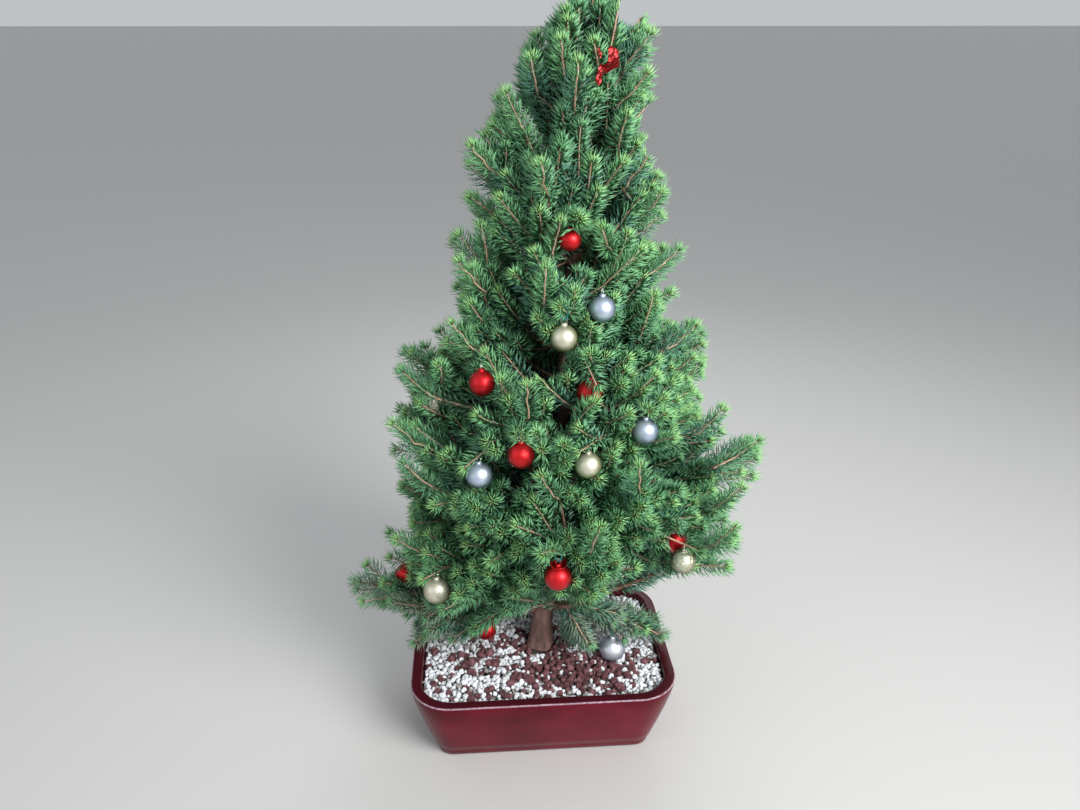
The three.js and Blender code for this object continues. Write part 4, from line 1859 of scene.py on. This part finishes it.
needle = {
    "length": 14.0,
    "width": 0.50,  # half of it, at the widest
    "lengthNoise": 0.09,
    "swell": (0.76, 0.32),  # longest in the middle of a shoot
    "uprightBelow": 0.08,
    "anyTurn": (0, 6.28),
    "swellFrom": 0.16,
    "bow": 0.13,
    "widestAt": 0.42,
    "leastAcross": 1e-6,
    "perMm": {"shoot": 2.6, "branch": 1.5},
    "thinInside": 0.5,
    "thinAt": (0.3, 0.62),
    "fewest": 3,
    "placeNoise": (0.2, 0.8),
    "spiral": 137.508,
    "spiralNoise": 0.15,
    "upperFrom": 0.62,  # cosine; this part of a stem's upper side is thinner
    "upperKept": 0.75,
    "undersideTurn": 0.25,
    "lean": (64, 20),  # from the stem at its foot, and how much less it is at its tip
    "leanNoise": 7,
    "lift": 0.12,
    "youngFrom": 0.68,
    "tuft": {"outer": 16, "inner": 5},
    "tuftOuter": 0.5,
    "tuftLength": 9.2,
    "tuftNoise": 0.12,
    "tuftFan": (6, 44),
    "tuftBack": 1.0,
    "tuftBow": 0.8,
    "simpleBelow": 0.87,  # needles further in than this have four faces, the others six
    "budLength": 2.6,
    "budWidth": 0.75,
}

anyDepth = 9.99
anyHeight = (0, 999)

# The tints of a stem's older needles, its younger ones and its tip's tuft: the first row that
# fits. Kind, exposure it is below, heights it is between, and the deal it is below.
shades = [
    ("branch", 0.60, anyHeight, 1.00, ("deep", "deep", "blue")),
    ("branch", anyDepth, anyHeight, 0.50, ("deep", "deep", "blue")),
    ("branch", anyDepth, anyHeight, 1.00, ("blue", "blue", "mid")),
    ("shoot", anyDepth, (0, 165), 0.50, ("pale", "pale", "fresh")),
    ("shoot", anyDepth, (0, 165), 0.75, ("blue", "pale", "fresh")),
    ("shoot", 0.50, anyHeight, 0.60, ("deep", "deep", "mid")),
    ("shoot", 0.50, anyHeight, 1.00, ("deep", "blue", "mid")),
    ("shoot", 0.72, anyHeight, 0.35, ("blue", "mid", "fresh")),
    ("shoot", 0.72, anyHeight, 0.50, ("deep", "mid", "fresh")),
    ("shoot", 0.72, anyHeight, 1.00, ("mid", "mid", "fresh")),
    ("shoot", anyDepth, (0, 400), 0.30, ("blue", "fresh", "bright")),
    ("shoot", anyDepth, (0, 400), 0.85, ("mid", "fresh", "bright")),
    ("shoot", anyDepth, (0, 400), 1.00, ("mid", "mid", "fresh")),
    # Above 400 mm the outer shoots take fresher tints: painted light, for the light on the crown's top
    ("shoot", anyDepth, (400, 999), 0.30, ("blue", "fresh", "bright")),
    ("shoot", anyDepth, (400, 999), 0.50, ("mid", "fresh", "bright")),
    ("shoot", anyDepth, (400, 999), 1.00, ("fresh", "fresh", "bright")),
]


def shadesFor(kind, outer, height):
    deal = random.random()
    for rowKind, below, (low, high), most, tints in shades:
        if kind == rowKind and outer < below and low <= height < high and deal < most:
            return tints


def needlePoints(base, heading, length, bowWay, bow, width, sides):
    # Needles: a point, a ring that lies off the straight line, and a point
    middle = base + heading * (length * needle["widestAt"])[:, None]
    middle = middle + bowWay * (length * bow)[:, None]
    first = np.cross(heading, bowWay)
    first /= np.maximum(np.linalg.norm(first, axis=1), needle["leastAcross"])[:, None]
    second = np.cross(heading, first)
    if sides == 3:
        turns = (0, 2 * math.pi / 3, 4 * math.pi / 3)
        ring = [middle + (first * math.cos(a) + second * math.sin(a)) * width for a in turns]
    else:
        ring = [middle + first * width, middle - first * width]
    return np.stack([base, *ring, base + heading * length[:, None]], axis=1)


needleFaces = {
    5: np.array([(0, 2, 1), (0, 3, 2), (0, 1, 3), (4, 1, 2), (4, 2, 3), (4, 3, 1)]),
    4: np.array([(0, 1, 2), (3, 2, 1), (0, 3, 1), (0, 2, 3)]),
}
needleBins = {}  # (region, tint, points in each needle): arrays of needle points


def facesOf(count, size):
    return (needleFaces[size][None] + (np.arange(count) * size)[:, None, None]).reshape(-1, 3)


def keepNeedles(region, tint, points):
    if len(points):
        needleBins.setdefault((region, tint, points.shape[1]), []).append(points)


def dressStem(stem):
    # Needles stand in a spiral along the stem and lean towards its tip
    points, kind, outer = stem["points"], stem["kind"], stem["exposure"]
    sides = 2 if outer < needle["simpleBelow"] or kind == "branch" else 3
    thin = needle["thinInside"]
    dense = needle["perMm"][kind]
    dense *= thin + (1 - thin) * float(blendStep(outer, *needle["thinAt"]))
    count = int(lengthOf(points) * dense)
    if count < needle["fewest"]:
        return
    share = (np.arange(count) + random.uniform(*needle["placeNoise"], count)) / count
    spot = share * (len(points) - 1)
    index = np.minimum(spot.astype(int), len(points) - 2)
    step = points[index + 1] - points[index]
    base = points[index] + step * (spot - index)[:, None]
    keep = np.array([exposure(p) > stem["bareFoot"] or p[2] > growth["bareBelow"] for p in base])
    azimuth = np.arange(count) * math.radians(needle["spiral"])
    azimuth = azimuth + random.uniform(*needle["anyTurn"])
    azimuth = azimuth + random.normal(size=count) * needle["spiralNoise"]
    keep &= (np.cos(azimuth) < needle["upperFrom"]) | (random.random(count) < needle["upperKept"])
    azimuth, share, base, along = azimuth[keep], share[keep], base[keep], unitRows(step[keep])
    if not len(share):
        return
    up = upward - along * along[:, 2:3]
    size = np.linalg.norm(up, axis=1)[:, None]
    upright = needle["uprightBelow"]
    up = np.where(size > upright, up / np.maximum(size, upright), np.array([1.0, 0, 0]))
    side = np.cross(along, up)
    azimuth = azimuth - needle["undersideTurn"] * np.sin(azimuth) * (np.cos(azimuth) < 0)
    radial = up * np.cos(azimuth)[:, None] + side * np.sin(azimuth)[:, None]
    most, lost = needle["lean"]
    lean = np.radians(most - lost * share + random.normal(size=len(share)) * needle["leanNoise"])
    heading = along * np.cos(lean)[:, None] + radial * np.sin(lean)[:, None]
    heading = unitRows(heading + upward * needle["lift"])
    least, more = needle["swell"]
    swellShare = np.clip(share * (1 - needle["swellFrom"]) + needle["swellFrom"], 0, 1)
    swell = least + more * np.sin(np.pi * swellShare)
    length = needle["length"] * swell * random.normal(1, needle["lengthNoise"], len(share))
    made = needlePoints(base, heading, length, radial, needle["bow"], needle["width"], sides)
    older, younger, tip = shadesFor(kind, outer, points[-1][2])
    isYoung = share > needle["youngFrom"]
    keepNeedles(stem["region"], older, made[~isYoung])
    keepNeedles(stem["region"], younger, made[isYoung])
    if kind == "shoot":
        keepNeedles(stem["region"], tip, growTuft(points, outer, sides))


def growTuft(points, outer, sides):
    # The needles round a shoot's tip, fanned out more and more
    count = needle["tuft"]["outer" if outer > needle["tuftOuter"] else "inner"]
    along = unit(points[-1] - points[-2])
    spin = np.arange(count) * math.radians(needle["spiral"])
    spin = spin + random.uniform(*needle["anyTurn"])
    least, more = needle["tuftFan"]
    fan = np.radians(least + more * (np.arange(count) + 0.5) / count)
    up = sideways(along, 0.0)
    radial = up * np.cos(spin)[:, None] + np.cross(along, up) * np.sin(spin)[:, None]
    heading = along * np.cos(fan)[:, None] + radial * np.sin(fan)[:, None]
    length = needle["tuftLength"] * random.normal(1, needle["tuftNoise"], count)
    start = np.repeat(points[-1:] - along * needle["tuftBack"], count, axis=0)
    bow = needle["bow"] * needle["tuftBow"]
    return needlePoints(start, heading, length, radial, bow, needle["width"], sides)


def openView(points):
    # Nothing stands inside an ornament, and little just in front of its face
    keep = np.ones(len(points), bool)
    for spots in (points[:, 0], points[:, 1:-1].mean(axis=1), points[:, -1]):
        for spot in hangers + clearViews:
            away = np.linalg.norm(spots - spot["middle"], axis=1)
            keep &= (away > spot["width"] / 2 + ornament["needleGap"]) & ~inFront(spots, spot)
    return points[keep]


def makeNeedles():
    total = 0
    for (region, tint, size), arrays in sorted(needleBins.items()):
        points = openView(np.concatenate(arrays))
        faces = facesOf(len(points), size)
        standsFor = ["mass_" + limb["name"] for limb in limbs if limb["tier"] in regions[region]]
        standsFor += ["mass_leader"] if region == "top" else []
        name = "_".join(["needles", region, tint, {4: "inner", 5: "outer"}[size]])
        meshPiece(name, points.reshape(-1, 3), faces, tint, standsFor=standsFor)
        total += len(faces)
    report(f"needles, {total} faces")


def makeTwigs():
    for kind, sides in twigTube["sides"].items():
        for region in regions:
            tubes = [
                tubeArrays(stem["points"], stem["radii"], sides)
                for stem in stems
                if stem["kind"] == kind and stem["region"] == region
            ]
            points, faces = joinCopies(tubes)
            name = twigTube["names"][kind] + "_" + region
            meshPiece(name, points, faces, twigTube["bark"][kind])


def makeBuds():
    ends = [s["points"] for s in stems if s["exposure"] > needle["tuftOuter"] and s["kind"] == "shoot"]
    base = np.array([points[-1] for points in ends])
    heading = np.array([unit(points[-1] - points[-2]) for points in ends])
    length = np.full(len(ends), needle["budLength"])
    across = np.cross(heading, upward)
    points = needlePoints(base, heading, length, across, 0.0, needle["budWidth"], 3)
    meshPiece("buds", points.reshape(-1, 3), facesOf(len(ends), 5), "bud")


for stem in stems:
    dressStem(stem)
makeNeedles()
makeTwigs()
makeBuds()
report("twigs and buds")


# Ornaments

ball = {
    "segments": 36,
    "rings": 22,
    "flatTop": 0.965,  # of its radius, where the cap sits
    "neck": 0.6,
    "smoothBelow": 50,
    "swirls": ("swirls", "MAGIC", 4, 0.9),
}

cap = {
    "radius": 2.5,
    "above": 0.2,
    "sides": 24,
    "crimp": 1.16,
    "dishInset": 0.7,
    "dishDepth": 0.5,
}

collar = {
    "foot": 5.2,
    "sunk": 2.2,  # into the ball
    "sides": 48,
    "steps": [(1.0, 1.04), (1.0, 1.05), (0.8, 1.05)],  # rise, then how much wider it gets
    "lobes": 2,
    "lobe": 3.2,
    "lobeFlare": 1.12,
    "lobeWidth": 0.45,
    "turn": 8,
    "thickness": 0.5,
}

ring = {
    "segments": (20, 6),
    "wire": (2.5, 0.38),  # radius of the loop and of its wire
    "wireSunk": 0.3,
    "tie": (2.8, 0.65),
    "tieStretch": 1.8,
    "tieLift": 3.0,
    "smoothBelow": 60,
}


def makeShell(radius):
    # A ball with a flattened top, where the cap sits
    clearSelection()
    bpy.ops.mesh.primitive_uv_sphere_add(
        segments=ball["segments"], ring_count=ball["rings"], radius=radius * mm
    )
    shell = bpy.context.object
    bpy.ops.object.mode_set(mode="EDIT")
    high = radius * mm * ball["flatTop"]
    selectWhere("faces", lambda f: f.calc_center_median().z > high)
    bpy.ops.mesh.delete(type="FACE")
    selectWhere("edges", lambda e: e.is_boundary)
    rise = (0, 0, ball["neck"] * mm)
    bpy.ops.mesh.extrude_region_move(TRANSFORM_OT_translate={"value": rise})
    bpy.ops.mesh.fill()
    faceOutward()
    leaveEdit()
    return shell


def angleOf(vertex):
    return math.atan2(vertex.co.y, vertex.co.x)


def makeCap(bottom):
    # A little crown of crimped sheet: every second pair of lower corners is pulled out
    clearSelection()
    height = ornament["capHeight"]
    bpy.ops.mesh.primitive_cylinder_add(
        vertices=cap["sides"],
        radius=cap["radius"] * mm,
        depth=height * mm,
        location=(0, 0, (bottom + height / 2) * mm),
    )
    metal = bpy.context.object
    applyPlace()
    bpy.ops.object.mode_set(mode="EDIT")
    low = (bottom + hair) * mm
    half = cap["sides"] / 2
    selectWhere("verts", lambda v: v.co.z < low and math.floor(angleOf(v) / math.pi * half) % 2 == 0)
    bpy.ops.transform.resize(value=(cap["crimp"], cap["crimp"], 1), center_override=(0, 0, 0))
    top = (bottom + height - hair) * mm
    selectWhere("faces", lambda f: f.normal.z > flatFace and f.calc_center_median().z > top)
    bpy.ops.mesh.inset(thickness=cap["dishInset"] * mm, depth=cap["dishDepth"] * mm)
    leaveEdit()
    return metal


def makeCollar(bottom):
    # A frill round one ball's cap: a short tube that flares into two lobes
    clearSelection()
    bpy.ops.mesh.primitive_circle_add(
        vertices=collar["sides"], radius=collar["foot"] * mm, location=(0, 0, bottom * mm)
    )
    frill = bpy.context.object
    applyPlace()
    editAll()
    for rise, flare in collar["steps"]:
        bpy.ops.mesh.extrude_edges_move(TRANSFORM_OT_translate={"value": (0, 0, rise * mm)})
        bpy.ops.transform.resize(value=(flare, flare, 1), center_override=(0, 0, 0))
    top = (bottom + sum(rise for rise, flare in collar["steps"]) - hair) * mm
    turn = math.radians(collar["turn"])
    selectWhere(
        "verts",
        lambda v: v.co.z > top
        and math.cos(collar["lobes"] * (angleOf(v) - turn)) > collar["lobeWidth"],
    )
    flare = collar["lobeFlare"]
    bpy.ops.transform.translate(value=(0, 0, collar["lobe"] * mm))
    bpy.ops.transform.resize(value=(flare, flare, 1), center_override=(0, 0, 0))
    leaveEdit()
    applyModifier(frill, "sheet", "SOLIDIFY", thickness=collar["thickness"] * mm, offset=0)
    applyModifier(frill, "soft", "SUBSURF", levels=1, render_levels=1)
    return frill


def makeRing(sizes, centre, turn, stretch=1.0):
    clearSelection()
    bpy.ops.mesh.primitive_torus_add(
        major_segments=ring["segments"][0],
        minor_segments=ring["segments"][1],
        major_radius=sizes[0] * mm,
        minor_radius=sizes[1] * mm,
        location=centre * mm,
        rotation=turn,
    )
    loop = bpy.context.object
    loop.scale = (1, stretch, 1)
    applyPlace()
    return loop


def copyTo(piece, middle, size=1.0):
    twin = piece.copy()
    twin.data = piece.data.copy()
    bpy.context.scene.collection.objects.link(twin)
    twin.location = Vector(middle * mm)
    twin.scale = (size, size, size)
    return twin


def makeOrnaments():
    radius = ornament["width"] / 2
    plain = joinAll([makeShell(radius), makeCap(radius * ball["flatTop"] + cap["above"])])
    swirled = copyTo(plain, np.zeros(3))
    makeActive(swirled)
    applyModifier(swirled, "finer", "SUBSURF", levels=1, render_levels=1)
    roughen(swirled, *ball["swirls"])
    counts, wires, ties = {}, [], []
    for hanger in hangers:
        finish = hanger["finish"]
        counts[finish] = counts.get(finish, 0) + 1
        size = hanger["width"] / ornament["width"]
        twin = copyTo(swirled if finish == "gold" else plain, hanger["middle"], size)
        name = f"{finish}Ball_{counts[finish]}"
        finishPiece(twin, name, finish, ball["smoothBelow"])
        if hanger.get("collar"):
            frill = makeCollar(hanger["width"] / 2 - collar["sunk"])
            frill.location = Vector(hanger["middle"] * mm)
            finishPiece(frill, "pinchedCollar", "red", ball["smoothBelow"])
        along = hanger["twigAlong"]
        turn = (math.radians(90), 0, math.atan2(along[1], along[0]) + math.pi / 2)
        top = hanger["width"] / 2 + ornament["capHeight"] + ring["wire"][0] - ring["wireSunk"]
        middle = hanger["middle"] + upward * top
        wires.append(makeRing(ring["wire"], middle, turn))
        if hanger["tie"]:
            middle = middle + upward * (ring["wire"][0] + ring["tieLift"])
            ties.append(makeRing(ring["tie"], middle, turn, ring["tieStretch"]))
    bpy.data.objects.remove(plain)
    bpy.data.objects.remove(swirled)
    finishPiece(joinAll(wires), "ornamentLoops", "wire", ring["smoothBelow"])
    finishPiece(joinAll(ties), "ornamentTies", "tie", ring["smoothBelow"])


foil = {
    "sheets": [  # width and height, middle, turn, seed
        ((9, 10), (4.5, 0, 5.5), (74, 18, 24), 4),
        ((12, 8), (3.0, -2, -0.5), (58, -24, -30), 9),
        ((7, 13), (-4.5, -1, -6.5), (96, 28, 52), 15),
        ((6, 7), (-5.0, 1, 7.5), (70, -40, 80), 22),
    ],
    "cuts": (6, 7),
    "crumple": 0.095,
    "thickness": 0.35,
}


def makeFoil():
    # Sheets of crumpled foil pinched together, with paler cut edges
    sheets = []
    for (width, height), middle, turn, seed in foil["sheets"]:
        clearSelection()
        across, along = foil["cuts"]
        bpy.ops.mesh.primitive_grid_add(x_subdivisions=across, y_subdivisions=along, size=1)
        sheet = bpy.context.object
        editAll()
        bpy.ops.transform.vertex_random(offset=foil["crumple"], seed=seed)
        leaveEdit()
        sheet.scale = (width * mm, height * mm, (width + height) / 2 * mm)
        sheet.location = Vector(middle) * mm
        sheet.rotation_euler = [math.radians(angle) for angle in turn]
        applyPlace()
        thickness = {"thickness": foil["thickness"] * mm, "material_offset_rim": 1}
        applyModifier(sheet, "thickness", "SOLIDIFY", **thickness)
        sheets.append(sheet)
    bundle = joinAll(sheets)
    bundle.location = Vector(foilMiddle * mm)
    rims = [face.material_index for face in bundle.data.polygons]
    finishPiece(bundle, "crumpledFoil", "foil")
    bundle.data.materials.append(paint["foilEdge"])
    bundle.data.polygons.foreach_set("material_index", rims)


makeOrnaments()
makeFoil()
report("ornaments")

triangles = 0
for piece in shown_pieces():
    piece.data.calc_loop_triangles()
    triangles += len(piece.data.loop_triangles)
report(f"{len(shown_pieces())} pieces, {triangles} triangles")
